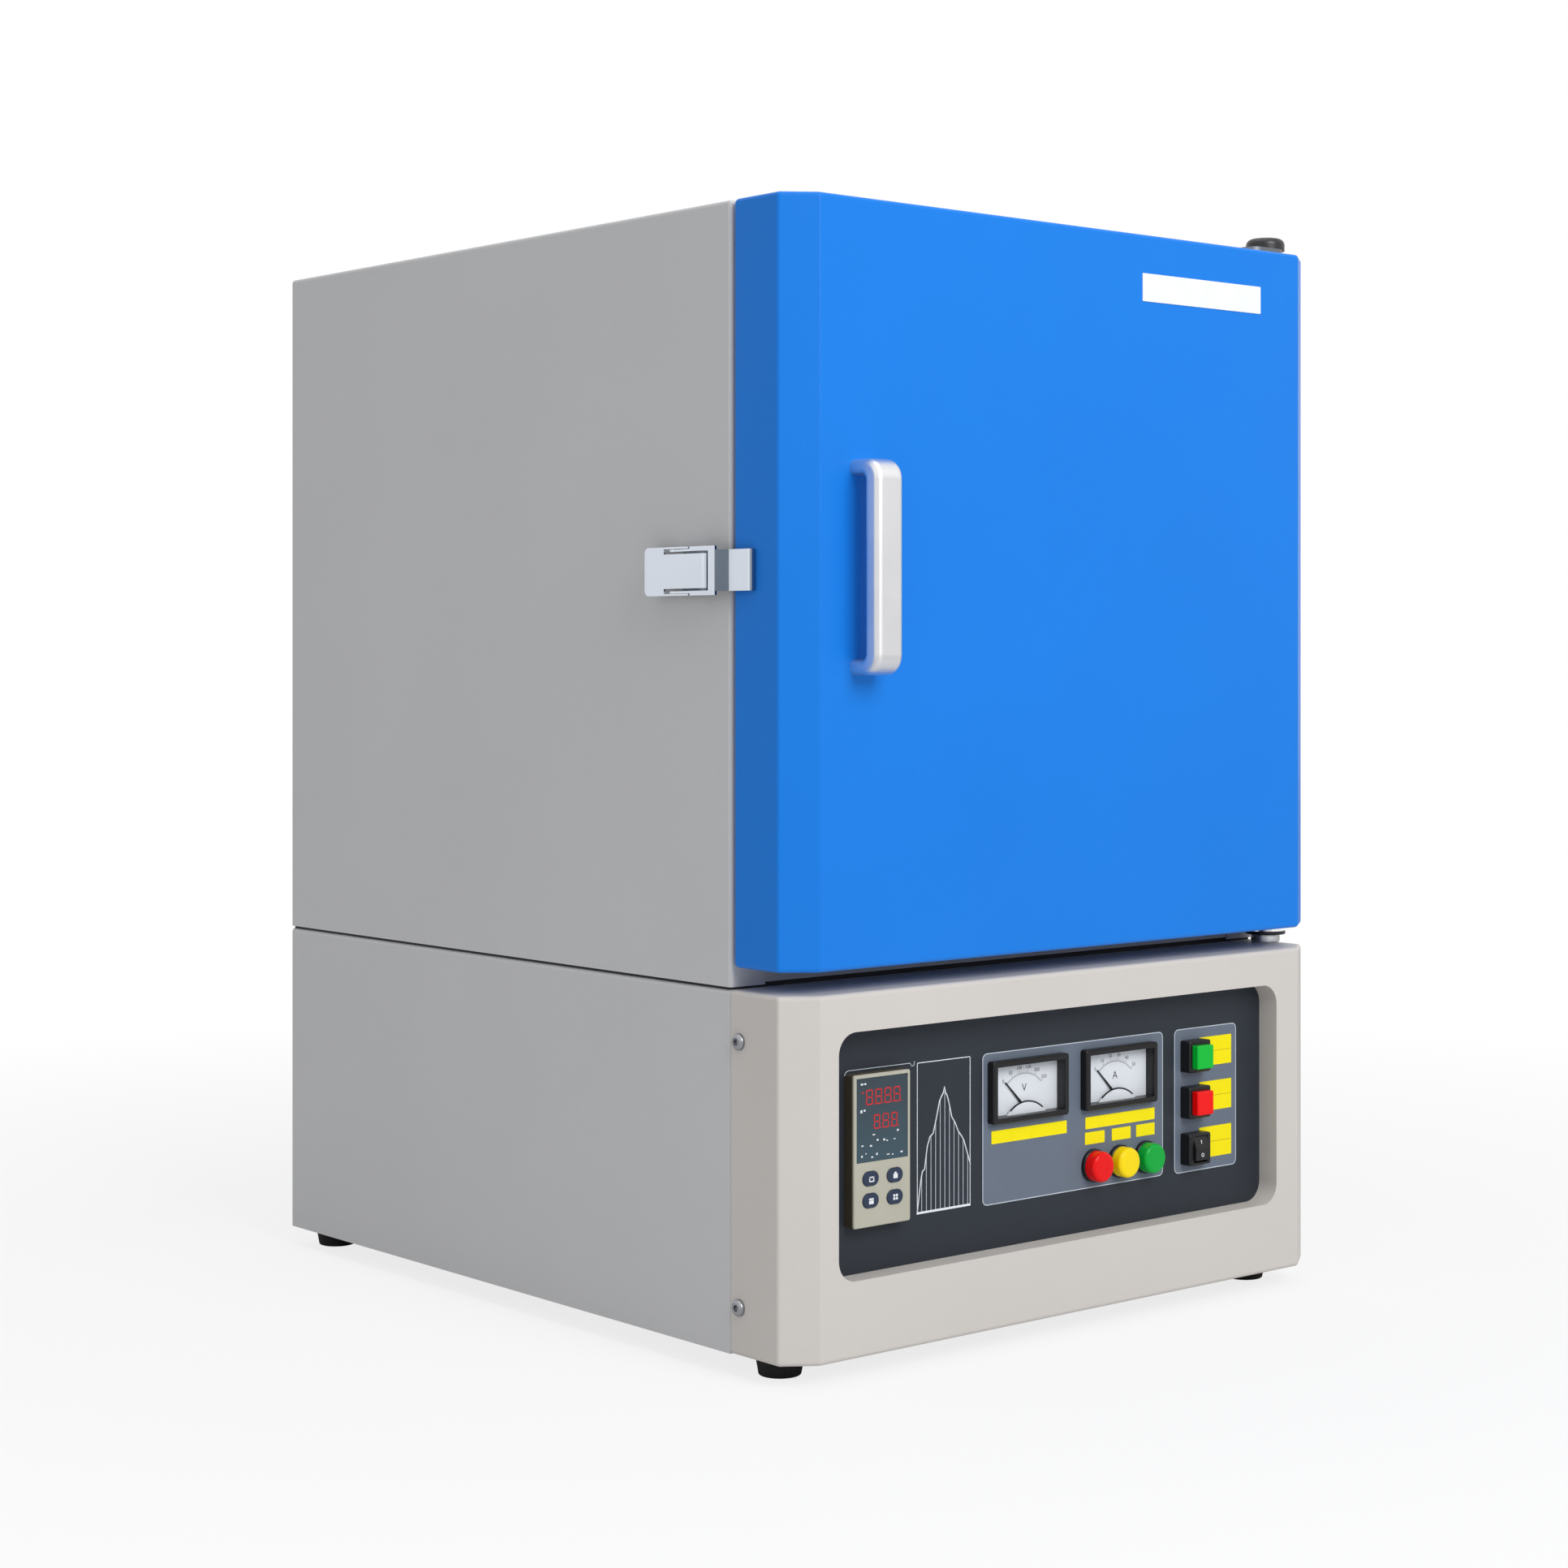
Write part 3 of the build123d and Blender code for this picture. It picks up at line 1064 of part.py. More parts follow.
def latch_hook():
    """Hook frame: two arms, a cross plate round the tongue's end, and a strip bent down to a claw."""
    inner, outer = arm_limits()
    top, low = LATCH_STAND, LATCH_STAND - LATCH_SHEET
    frame = block((HOOK_FRONT_U, HOOK_REAR_U), (low, top), (-LEVER_HALF_WIDTH, LEVER_HALF_WIDTH))
    frame -= block((HOOK_WINDOW_U, HOOK_REAR_U + 1), (low - 1, top + 1), (-inner, inner))
    arm_top = top - LATCH_SHEET / 2
    slant = Polyline((HOOK_WINDOW_U, arm_top), (HOOK_REAR_U, arm_top), (LINK_PIVOT_U, LINK_PIVOT_H + 2.2),
                     (LINK_PIVOT_U, LINK_PIVOT_H - 2.2), (HOOK_REAR_U, LINK_PIVOT_H - 2.2),
                     (HOOK_WINDOW_U + 4, low), close=True)
    arm = make_face(slant) + latch_disc(LINK_PIVOT_U, LINK_PIVOT_H, LINK_PIN_RADIUS + 1.9)
    arms = mirrored_ears(arm, inner, outer)
    line_top = top - LATCH_SHEET / 2
    line_low = HOOK_LOW_H + LATCH_SHEET / 2
    route = FilletPolyline((HOOK_WINDOW_U, line_top), (HOOK_FRONT_U, line_top), (HOOK_LOW_U, line_low),
                           (CLAW_U + LATCH_SHEET / 2, line_low), (CLAW_U + LATCH_SHEET / 2, CLAW_TIP_H), radius=1.6)
    strip = trace(route, line_width=LATCH_SHEET)
    strip = extrude(Pos(0, 0, -HOOK_HALF_WIDTH) * strip, 2 * HOOK_HALF_WIDTH)
    hook = frame + arms + strip
    hook -= latch_pin(LINK_PIVOT_U, LINK_PIVOT_H, 2 * LEVER_HALF_WIDTH, LINK_PIN_RADIUS + LATCH_RUNNING)
    return latch_place() * hook


def latch_keeper():
    """Strike on the door side: a flat strip with a low lip that the claw pulls on."""
    lip_u = CLAW_U + LATCH_SHEET + LATCH_SIDE_GAP + KEEPER_SHEET / 2
    lip_h = HOOK_LOW_H - LATCH_SIDE_GAP
    route = FilletPolyline((KEEPER_REAR_U, KEEPER_SHEET / 2), (lip_u, KEEPER_SHEET / 2), (lip_u, lip_h), radius=1.0)
    strip = trace(route, line_width=KEEPER_SHEET)
    return latch_place() * extrude(Pos(0, 0, -KEEPER_HALF_WIDTH) * strip, 2 * KEEPER_HALF_WIDTH)


# Control panel

def controller_centre():
    return on_front(CONTROLLER_FROM_SIDE, CONTROLLER_FROM_BASE)


def meter_centres():
    return [on_front(from_side, METER_FROM_BASE) for from_side in METER_FROM_SIDE]


def lamp_centres():
    return [on_front(from_side, LAMP_FROM_BASE) for from_side in LAMP_FROM_SIDE]


def switch_centres():
    """Green button, red button and rocker, from the top down."""
    return [on_front(SWITCH_FROM_SIDE, from_base) for from_base in (GREEN_FROM_BASE, RED_FROM_BASE, ROCKER_FROM_BASE)]


def control_panel():
    """Flat panel against the back of the window walls, cut out for every instrument."""
    y = (PANEL_FACE, PANEL_FACE + PANEL_THICKNESS)
    cut_y = (y[0] - 1, y[1] + 1)
    margin = PANEL_MARGIN
    panel = upright_slab((WINDOW_LEFT - margin, WINDOW_RIGHT + margin), (WINDOW_BASE - margin, WINDOW_TOP + margin),
                         margin / 2, y)
    gap = CUTOUT_CLEARANCE
    panel -= block_cut(controller_centre(), CONTROLLER_BODY_WIDTH, CONTROLLER_BODY_HEIGHT, cut_y)
    inset = 2 * (METER_BORDER - METER_WALL)
    for centre in meter_centres():
        panel -= block_cut(centre, METER_WIDTH - inset, METER_HEIGHT - inset, cut_y)
    for x, z in lamp_centres():
        panel -= rod((x, cut_y[0], z), (x, cut_y[1], z), LAMP_BARREL_RADIUS + gap)
    for centre in switch_centres():
        panel -= block_cut(centre, SWITCH_BODY, SWITCH_BODY, cut_y)
    return panel


def block_cut(centre, width, height, y):
    """Rectangular cut-out round an instrument body, with the panel clearance."""
    x, z = around(centre, width / 2 + CUTOUT_CLEARANCE, height / 2 + CUTOUT_CLEARANCE)
    return block(x, y, z)


def controller_case():
    """Black flange and deep body of the panel controller, with a pocket for the keys."""
    centre = controller_centre()
    y = (PANEL_FACE - CONTROLLER_FLANGE, PANEL_FACE)
    flange = upright_slab(*around(centre, CONTROLLER_WIDTH / 2, CONTROLLER_HEIGHT / 2), 1.5, y)
    x, z = around(centre, CONTROLLER_BODY_WIDTH / 2, CONTROLLER_BODY_HEIGHT / 2)
    body = block(x, (y[1], y[1] + CONTROLLER_BODY_DEPTH), z)
    case = flange + body
    for key in key_centres():
        kx, kz = around(key, KEY_WIDTH / 2 + KEY_CLEARANCE, KEY_HEIGHT / 2 + KEY_CLEARANCE)
        case -= block(kx, (y[0] - 1, y[0] + 2 * KEY_TRAVEL), kz)
    return case


def key_centres():
    """The four keys of the controller, left to right and top to bottom."""
    centre = on_front(CONTROLLER_FROM_SIDE, KEYS_FROM_BASE)
    return [(centre[0] + column * KEY_PITCH_X / 2, centre[1] - row * KEY_PITCH_Z / 2)
            for row in (-1, 1) for column in (-1, 1)]


def display_limits():
    """Limits of the controller's display window."""
    centre = controller_centre()
    top = centre[1] + CONTROLLER_HEIGHT / 2 - DISPLAY_FROM_TOP
    return (centre[0] - DISPLAY_WIDTH / 2, centre[0] + DISPLAY_WIDTH / 2), (top - DISPLAY_HEIGHT, top)


def oval(centre, width, height, y):
    """A key shape with round ends, thickened between two y values."""
    shape = SlotOverall(width, height)
    return extrude(facing((centre[0], y[0], centre[1]), (0, 1, 0)) * shape, y[1] - y[0])


def controller_front():
    """Champagne face plate of the controller, cut out for the display and the keys."""
    y = (PANEL_FACE - CONTROLLER_FLANGE - CONTROLLER_FACE, PANEL_FACE - CONTROLLER_FLANGE)
    limits = around(controller_centre(), CONTROLLER_WIDTH / 2, CONTROLLER_HEIGHT / 2)
    plate = upright_slab(*limits, 1.5, y)
    plate = chamfer(plate.faces().sort_by(Axis.Y)[0].edges(), 0.5)
    x, z = display_limits()
    plate -= block(x, (y[0] - 1, y[1] + 1), z)
    for key in key_centres():
        plate -= oval(key, KEY_WIDTH + 2 * KEY_CLEARANCE, KEY_HEIGHT + 2 * KEY_CLEARANCE, (y[0] - 1, y[1] + 1))
    return plate


def controller_window():
    """Tinted display window set in the face plate."""
    x, z = display_limits()
    front = PANEL_FACE - CONTROLLER_FLANGE - CONTROLLER_FACE
    return block(x, (front + DISPLAY_SINK, PANEL_FACE - CONTROLLER_FLANGE), z)


def controller_key(number):
    """One oval rubber key with a softened front edge."""
    face = PANEL_FACE - CONTROLLER_FLANGE
    front = face - CONTROLLER_FACE - KEY_PROUD
    key = oval(key_centres()[number], KEY_WIDTH, KEY_HEIGHT, (front, face + KEY_TRAVEL / 2))
    return chamfer(key.faces().sort_by(Axis.Y)[0].edges(), 0.4)


def meter_bay(centre, margin):
    """The x and z limits of a meter's sunk chamber, less a margin on every side."""
    border = METER_BORDER + margin
    return around(centre, METER_WIDTH / 2 - border, METER_HEIGHT / 2 - border)


def dial_face():
    """Plane of the printed faces of the meter dials."""
    return PANEL_FACE - METER_PROUD + METER_SINK


def meter_cases():
    """Black housings of the two meters: a raised frame round a deep chamber, and a body behind the panel."""
    cases = []
    front = PANEL_FACE - METER_PROUD
    floor = dial_face() + DIAL_THICKNESS
    for centre in meter_centres():
        x, z = around(centre, METER_WIDTH / 2, METER_HEIGHT / 2)
        frame = upright_slab(x, z, 2.0, (front, PANEL_FACE))
        frame = chamfer(frame.faces().sort_by(Axis.Y)[0].edges(), 0.8)
        bx, bz = meter_bay(centre, -METER_WALL)
        body = block(bx, (PANEL_FACE, PANEL_FACE + METER_BODY_DEPTH), bz)
        wx, wz = meter_bay(centre, 0)
        case = frame + body - block(wx, (front - 1, floor), wz)
        px, pz = needle_place(centre)
        tip = dial_face() - 2 * NEEDLE_CLEARANCE - NEEDLE_THICKNESS
        cases.append(case + rod((px, floor, pz), (px, tip, pz), SPINDLE_RADIUS))
    return group(*cases)


def needle_place(centre):
    """The pivot of a meter needle, low in the dial."""
    return (centre[0], centre[1] - METER_HEIGHT / 2 + METER_BORDER + NEEDLE_HUB_RADIUS + 1)


def meter_dials():
    """White dial plates, bored for the needle spindles."""
    dials = []
    y = (dial_face(), dial_face() + DIAL_THICKNESS)
    for centre in meter_centres():
        x, z = meter_bay(centre, DIAL_CLEARANCE)
        px, pz = needle_place(centre)
        hole = rod((px, y[0] - 1, pz), (px, y[1] + 1, pz), SPINDLE_RADIUS + PIN_CLEARANCE)
        dials.append(block(x, y, z) - hole)
    return group(*dials)


def meter_windows():
    """Clear windows of the meters, just behind the front of the frames."""
    panes = []
    front = PANEL_FACE - METER_PROUD + METER_GLASS_SINK
    for centre in meter_centres():
        x, z = meter_bay(centre, 0)
        panes.append(block(x, (front, front + METER_GLASS), z))
    return group(*panes)


def meter_needle(number):
    """A tapered needle on its hub, resting at the left end of the scale."""
    x, z = needle_place(meter_centres()[number])
    back = dial_face() - NEEDLE_CLEARANCE
    shape = Circle(NEEDLE_HUB_RADIUS) + make_face(Polyline(
        (-NEEDLE_WIDTH, 0), (-NEEDLE_WIDTH / 3, NEEDLE_LENGTH), (NEEDLE_WIDTH / 3, NEEDLE_LENGTH),
        (NEEDLE_WIDTH, 0), close=True))
    shape -= Circle(SPINDLE_RADIUS + PIN_CLEARANCE)
    turned = Rot(0, 0, NEEDLE_REST) * shape
    seat = Plane(origin=(x, back, z), x_dir=(1, 0, 0), z_dir=(0, -1, 0))
    return extrude(seat * turned, NEEDLE_THICKNESS)


def lamp_bases():
    """Black collars of the three lamps with threaded barrels and nuts behind the panel."""
    bases = []
    back = PANEL_FACE + PANEL_THICKNESS
    for x, z in lamp_centres():
        collar = rod((x, PANEL_FACE - LAMP_BASE_HEIGHT, z), (x, PANEL_FACE, z), LAMP_BASE_RADIUS)
        collar = chamfer(collar.edges().filter_by(GeomType.CIRCLE).group_by(Axis.Y)[0], 0.6)
        barrel = rod((x, PANEL_FACE, z), (x, PANEL_FACE + LAMP_BARREL_LENGTH, z), LAMP_BARREL_RADIUS)
        nut = extrude(facing((x, back, z), (0, 1, 0)) * RegularPolygon(LAMP_NUT_RADIUS, 6), LAMP_NUT_HEIGHT)
        bases.append(collar + barrel + nut)
    return group(*bases)


def lamp_lens(number):
    """Domed lens of one lamp."""
    x, z = lamp_centres()[number]
    back = PANEL_FACE - LAMP_BASE_HEIGHT
    lens = rod((x, back, z), (x, back - LAMP_LENS_HEIGHT, z), LAMP_LENS_RADIUS)
    return fillet(lens.edges().filter_by(GeomType.CIRCLE).group_by(Axis.Y)[0], LAMP_LENS_DOME)


def switch_bases():
    """Square black housings of the two push buttons and the rocker."""
    bases = []
    front = PANEL_FACE - SWITCH_PROUD
    for number, centre in enumerate(switch_centres()):
        rim = upright_slab(*around(centre, SWITCH_SIDE / 2, SWITCH_SIDE / 2), 1.5, (front, PANEL_FACE))
        rim = chamfer(rim.faces().sort_by(Axis.Y)[0].edges(), 1.0)
        x, z = around(centre, SWITCH_BODY / 2, SWITCH_BODY / 2)
        body = block(x, (PANEL_FACE, PANEL_FACE + SWITCH_BODY_DEPTH), z)
        if number < 2:
            half = CAP_SIDE / 2 + CAP_CLEARANCE
            px, pz = around(centre, half, half)
            floor = PANEL_FACE - CAP_CLEARANCE
        else:
            px, pz = around(centre, ROCKER_WIDTH / 2 + ROCKER_SIDE_CLEARANCE, ROCKER_HALF_HEIGHT + ROCKER_CLEARANCE)
            floor = PANEL_FACE
        base = rim + body - block(px, (front - 1, floor), pz)
        if number == 2:
            base += rocker_axle(centre)
        bases.append(base)
    return group(*bases)


def button_cap(number):
    """One square push-button cap with rounded edges."""
    centre = switch_centres()[number]
    front = PANEL_FACE - SWITCH_PROUD - CAP_PROUD
    back = PANEL_FACE - CAP_CLEARANCE - CAP_TRAVEL - SHEET_GAP
    cap = upright_slab(*around(centre, CAP_SIDE / 2, CAP_SIDE / 2), CAP_CORNER, (front, back))
    return chamfer(cap.faces().sort_by(Axis.Y)[0].edges(), CAP_CORNER * 0.6)


def rocker_pivot():
    """Depth of the rocker's axle."""
    return PANEL_FACE - SWITCH_PROUD + ROCKER_DEPTH / 2 - 0.5


def rocker_axle(centre):
    half = ROCKER_WIDTH / 2 + 2 * ROCKER_SIDE_CLEARANCE
    y = rocker_pivot()
    return rod((centre[0] - half, y, centre[1]), (centre[0] + half, y, centre[1]), ROCKER_AXLE_RADIUS)


def power_rocker():
    """Rocker with a shallow crest across its face, bored for the axle and tilted to one end."""
    centre = switch_centres()[2]
    half = ROCKER_HALF_HEIGHT
    deep = ROCKER_DEPTH / 2
    side = Polyline((-deep, -half), (-deep - ROCKER_CREST, 0), (-deep, half), (deep * 0.4, half * 0.8),
                    (deep * 0.8, 0), (deep * 0.4, -half * 0.8), close=True)
    body = extrude(Plane.YZ * make_face(side), ROCKER_WIDTH / 2, both=True)
    body -= Rot(0, 90, 0) * Cylinder(ROCKER_AXLE_RADIUS + PIN_CLEARANCE, 2 * ROCKER_WIDTH)
    return Pos(centre[0], rocker_pivot(), centre[1]) * Rot(-ROCKER_TILT, 0, 0) * body


def print_frame():
    """Joint places, mounts and openings in the finished frame, in metres."""
    def place(name, x, y, z):
        print(name, [round((x - ORIGIN_X) / 1000, 6), round((y - ORIGIN_Y) / 1000, 6), round(z / 1000, 6)])
    place("door hinge", HINGE_X, HINGE_Y, DOOR_BASE)
    place("latch lever", -HALF_WIDTH - LEVER_PIVOT_H, LEVER_PIVOT_U, LATCH_LEVEL)
    place("latch hook", -HALF_WIDTH - LINK_PIVOT_H, LINK_PIVOT_U, LATCH_LEVEL)
    rocker = switch_centres()[2]
    place("rocker", rocker[0], rocker_pivot(), rocker[1])
    for centre in meter_centres():
        spot = needle_place(centre)
        place("needle", spot[0], dial_face(), spot[1])
    place("fan", fan_centre()[0], REAR_SKIN - FAN_DEPTH / 2, fan_centre()[1])
    place("gland", gland_centre()[0], CASE_DEPTH + GLAND_REACH, gland_centre()[1])
    for foot in foot_centres():
        place("foot", foot[0], foot[1], 0)
    inner = CHAMBER_HALF - HAIRPIN_FROM_WALL - HOT_RADIUS
    place("chamber low", -inner, PLUG_DEPTH, CHAMBER_FLOOR + HEARTH_THICKNESS)
    place("chamber high", inner, CHAMBER_BACK - SHEATH_REACH, CHAMBER_CEILING)
    place("mouth low", -MOUTH_BACK / 2, PLUG_DEPTH, MOUTH_LEVEL - MOUTH_BACK / 2)
    grip_x = HANDLE_FROM_SIDE - HALF_WIDTH
    place("grip low", grip_x, HANDLE_GRIP - FRONT_REACH - HANDLE_REACH, HANDLE_LEVEL - HANDLE_LENGTH / 2 + HANDLE_LEG)
    place("grip high", grip_x + HANDLE_WIDTH, -FRONT_REACH, HANDLE_LEVEL + HANDLE_LENGTH / 2 - HANDLE_LEG)


PARTS = {
    "lower_shell": lower_shell, "base_pan": base_pan, "lower_rear_panel": lower_rear_panel,
    "front_bezel": front_bezel, "control_panel": control_panel, "case_screws": case_screws, "feet": feet,
    "cable_gland": cable_gland, "upper_shell": upper_shell, "upper_front_frame": upper_front_frame,
    "upper_rear_cover": upper_rear_cover, "upper_base_plate": upper_base_plate, "chamber_floor": chamber_floor,
    "chamber_roof": chamber_roof, "chamber_walls": chamber_walls, "mouth_collar": mouth_collar,
    "backing_boards": backing_boards, "hearth_plate": hearth_plate, "heating_elements": heating_elements,
    "element_clamps": element_clamps, "thermocouple": thermocouple, "transformer": transformer,
    "power_regulator": power_regulator, "contactor": contactor, "fan_frame": fan_frame, "fan_rotor": fan_rotor,
    "upper_hinge_bracket": upper_hinge_bracket, "hinge_pins": hinge_pins, "latch_base": latch_base,
    "latch_lever": latch_lever, "latch_link_pins": latch_link_pins, "latch_hook": latch_hook,
    "latch_keeper": latch_keeper, "controller_case": controller_case, "controller_front": controller_front,
    "controller_window": controller_window, "meter_cases": meter_cases, "meter_dials": meter_dials,
    "meter_windows": meter_windows, "lamp_bases": lamp_bases, "switch_bases": switch_bases,
    "power_rocker": power_rocker, "door_shell": door_shell, "door_back_plate": door_back_plate,
    "door_insulation": door_insulation, "door_plug": door_plug, "door_gasket": door_gasket,
    "door_handle": door_handle, "hinge_blocks": hinge_blocks,
}
for lamp, colour in enumerate(("red", "yellow", "green")):
    PARTS["lamp_lens_" + colour] = lambda lamp=lamp: lamp_lens(lamp)
for switch, colour in enumerate(("green", "red")):
    PARTS[colour + "_button"] = lambda switch=switch: button_cap(switch)
for key in range(4):
    PARTS["controller_key_" + str(key + 1)] = lambda key=key: controller_key(key)
for meter, kind in enumerate(("voltmeter", "ammeter")):
    PARTS[kind + "_needle"] = lambda meter=meter: meter_needle(meter)

os.makedirs("parts", exist_ok=True)
for name, build in PARTS.items():
    piece = build().moved(Location((-ORIGIN_X, -ORIGIN_Y, 0)))
    export_step(piece, "parts/" + name + ".step")
print_frame()
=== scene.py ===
# %% [markdown]
# # A bench muffle furnace, dressed for a studio photograph
# The solid model of the furnace already exists: casing, door, latch, hinges, instruments and
# lining. This lesson loads it, gives every surface a finish, adds the printed and moulded details
# that are too thin to be worth a solid, and sets up the light and the camera. All lengths are in
# metres, and +Z is up.

# %% Load the frame
import json
from math import asin, cos, degrees, pi, radians, sin
import bmesh
import bpy
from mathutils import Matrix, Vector


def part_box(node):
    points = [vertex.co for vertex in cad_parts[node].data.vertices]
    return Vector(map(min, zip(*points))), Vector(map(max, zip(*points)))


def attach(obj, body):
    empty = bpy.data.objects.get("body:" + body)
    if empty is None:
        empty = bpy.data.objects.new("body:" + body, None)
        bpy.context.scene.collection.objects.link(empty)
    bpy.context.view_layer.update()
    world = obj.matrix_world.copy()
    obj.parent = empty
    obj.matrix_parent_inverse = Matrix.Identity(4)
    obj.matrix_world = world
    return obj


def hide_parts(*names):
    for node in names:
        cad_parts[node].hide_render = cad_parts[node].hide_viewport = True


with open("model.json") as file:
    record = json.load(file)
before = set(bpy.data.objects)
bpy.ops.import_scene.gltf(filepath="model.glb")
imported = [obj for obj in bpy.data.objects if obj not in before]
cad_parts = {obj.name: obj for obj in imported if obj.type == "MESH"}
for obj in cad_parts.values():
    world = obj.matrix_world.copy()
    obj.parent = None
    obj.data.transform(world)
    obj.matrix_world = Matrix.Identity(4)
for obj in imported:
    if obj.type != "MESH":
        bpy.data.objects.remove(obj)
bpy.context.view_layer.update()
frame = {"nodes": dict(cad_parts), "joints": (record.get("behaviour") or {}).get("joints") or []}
nodes = frame["nodes"]

# %% [markdown]
# The controls are easiest to place as on a workshop drawing: millimetres from the left side of the
# casing and from the bottom edge of the lower case. Short functions turn such numbers into metres
# in the model: one along the width, one up the height and one for a whole rectangle.

# %% Drawing positions
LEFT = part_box("lower_shell")[0].x
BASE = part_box("lower_shell")[0].z
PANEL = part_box("control_panel")[0].y
CASING_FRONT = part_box("upper_shell")[0].y


def across(mm):
    return LEFT + mm / 1000


def up(mm):
    return BASE + mm / 1000


def area(x, z):
    """Two sides and two heights of a rectangle on the drawing, as places in the model."""
    return [across(mm) for mm in x], [up(mm) for mm in z]


print("left side", round(LEFT, 4), " lower edge", round(BASE, 4), " panel face", round(PANEL, 4))

# %% [markdown]
# A finish is a tree of nodes. Wired by hand, a sum of two masks already takes three steps, so a
# small class does it: `Flow` is one output socket that Python's own operators work on, and
# `1 - mask` adds a Math node. The reflected forms let a plain number stand first.

# %% Shader maths
class Flow:
    """One output socket; arithmetic on it adds Math nodes."""

    def __init__(self, paint, socket):
        self.paint = paint
        self.socket = socket

    def maths(self, operation, first, second):
        return self.paint.node("ShaderNodeMath", {"operation": operation}, {0: first, 1: second})

    def __add__(self, other):
        return self.maths("ADD", self, other)

    def __sub__(self, other):
        return self.maths("SUBTRACT", self, other)

    def __rsub__(self, other):
        return self.maths("SUBTRACT", other, self)

    def __mul__(self, other):
        return self.maths("MULTIPLY", self, other)

    def __gt__(self, other):
        return self.maths("GREATER_THAN", self, other)

    def __lt__(self, other):
        return self.maths("LESS_THAN", self, other)

    __radd__ = __add__
    __rmul__ = __mul__


print("operators ready")

# %% [markdown]
# `Paint` holds one material. Its method `node` adds any node, `feed` sets or links a socket of the
# shader, and the other methods are steps that nearly every finish needs: a noise, a colour that
# drifts between two tones, a roughness that wanders round a middle value, and a bump.

# %% One material
class Paint:
    """One material, with the shader's fixed values set on its own sockets."""

    def __init__(self, name, **fixed):
        self.material = bpy.data.materials.new(name)
        self.material.use_nodes = True
        self.tree = self.material.node_tree
        self.shader = self.tree.nodes["Principled BSDF"]
        for socket, value in fixed.items():
            self.feed(socket.replace("_", " "), value)

    def put(self, socket, value):
        if isinstance(value, Flow):
            self.tree.links.new(value.socket, socket)
        else:
            socket.default_value = value

    def feed(self, socket, value):
        self.put(self.shader.inputs[socket], value)
        return self

    def node(self, kind, settings=None, sockets=None, out=0):
        made = self.tree.nodes.new(kind)
        for key, value in (settings or {}).items():
            if key == "stops":
                for stop, (place, level) in zip(made.color_ramp.elements, value):
                    stop.position = place
                    stop.color = (level, level, level, 1)
            else:
                setattr(made, key, value)
        for key, value in (sockets or {}).items():
            self.put(made.inputs[key], value)
        return Flow(self, made.outputs[out])

    def place(self, stretch=(1, 1, 1)):
        """Object coordinates, stretched."""
        where = self.node("ShaderNodeTexCoord", out="Object")
        return self.node("ShaderNodeVectorMath", {"operation": "MULTIPLY"}, {0: where, 1: stretch})

    def axis(self, letter):
        """One coordinate of the surface point."""
        return self.node("ShaderNodeSeparateXYZ", sockets={0: self.place()}, out=letter)

    def noise(self, scale, detail, stretch=(1, 1, 1), rough=0.5):
        return self.node("ShaderNodeTexNoise", sockets={
            "Vector": self.place(stretch), "Scale": scale, "Detail": detail, "Roughness": rough})

    def mix(self, share, first, second):
        """Two colours, mixed by a share."""
        return self.node("ShaderNodeMix", {"data_type": "RGBA"}, {0: share, 6: first, 7: second},
                         out=2)

    def vary(self, share, colour, low, high):
        """The base colour runs between a darker and a lighter tone of one colour."""
        return self.feed("Base Color", self.mix(share, tone(colour, low), tone(colour, high)))

    def roughen(self, share, middle, spread):
        """The roughness runs over a spread round a middle value."""
        return self.feed("Roughness", share * spread + (middle - spread / 2))

    def bump(self, height, depth):
        """Bump of a real depth in metres."""
        normal = self.node("ShaderNodeBump",
                           sockets={"Height": height, "Distance": depth, "Strength": 1.0})
        return self.feed("Normal", normal)


print("material class ready")

# %% [markdown]
# Colours are easiest to judge as a screen shows them, from 0 to 255. A shader wants linear values,
# so `ink` undoes the curve of the screen, and `tone` makes a colour lighter or darker.

# %% Colours
def ink(red, green, blue):
    """A colour as read off a screen, turned into the linear values that a shader wants."""
    channels = []
    for value in (red, green, blue):
        value = value / 255
        channels.append(value / 12.92 if value <= 0.04045 else ((value + 0.055) / 1.055) ** 2.4)
    return (*channels, 1.0)


def tone(colour, factor):
    """The same colour, lighter or darker."""
    return (*[channel * factor for channel in colour[:3]], 1.0)


print("mid grey:", [round(channel, 3) for channel in ink(128, 128, 128)])

# %% [markdown]
# **Powder coat.** The casing and the door are sprayed with dry paint and baked. Close up, such a
# coat has the skin of an orange: shallow bumps about a millimetre across. Modelled bumps would take
# millions of faces, so a fine noise gives them as bump, and a broad noise shifts colour and gloss
# very slightly. In a white room a strong sheen washes every colour out, so `SHEEN`, the specular
# level of the paints and prints, is low.

# %% Powder coat
SHEEN = 0.16


def powder_coat(name, colour, gloss=0.42, grain=1100, depth=0.00006, drift=0.04):
    paint = Paint(name, Specular_IOR_Level=SHEEN)
    cloud = paint.noise(scale=9, detail=3)
    speck = paint.noise(scale=grain, detail=1)
    swell = paint.noise(scale=grain * 0.35, detail=1)
    paint.vary(cloud * 0.75 + speck * 0.25, colour, 1 - drift, 1 + drift)
    paint.roughen(cloud, gloss, spread=0.10)
    return paint.bump(speck + swell * 0.8, depth)


CASING = powder_coat("casing_powder_coat", ink(204, 204, 205))
BEZEL = powder_coat("bezel_powder_coat", ink(208, 203, 198))
DOOR = powder_coat("door_powder_coat", ink(24, 124, 223), gloss=0.36, grain=1000, drift=0.05)
# The upper base plate shows only in the seam between the upper and the lower case, a gap in shadow,
# so its near-black coat is painted shadow.
SHADOW_PAINT = powder_coat("base_plate_dark_coat", ink(36, 36, 38))
print("powder coats:", [paint.material.name for paint in (CASING, BEZEL, DOOR, SHADOW_PAINT)])

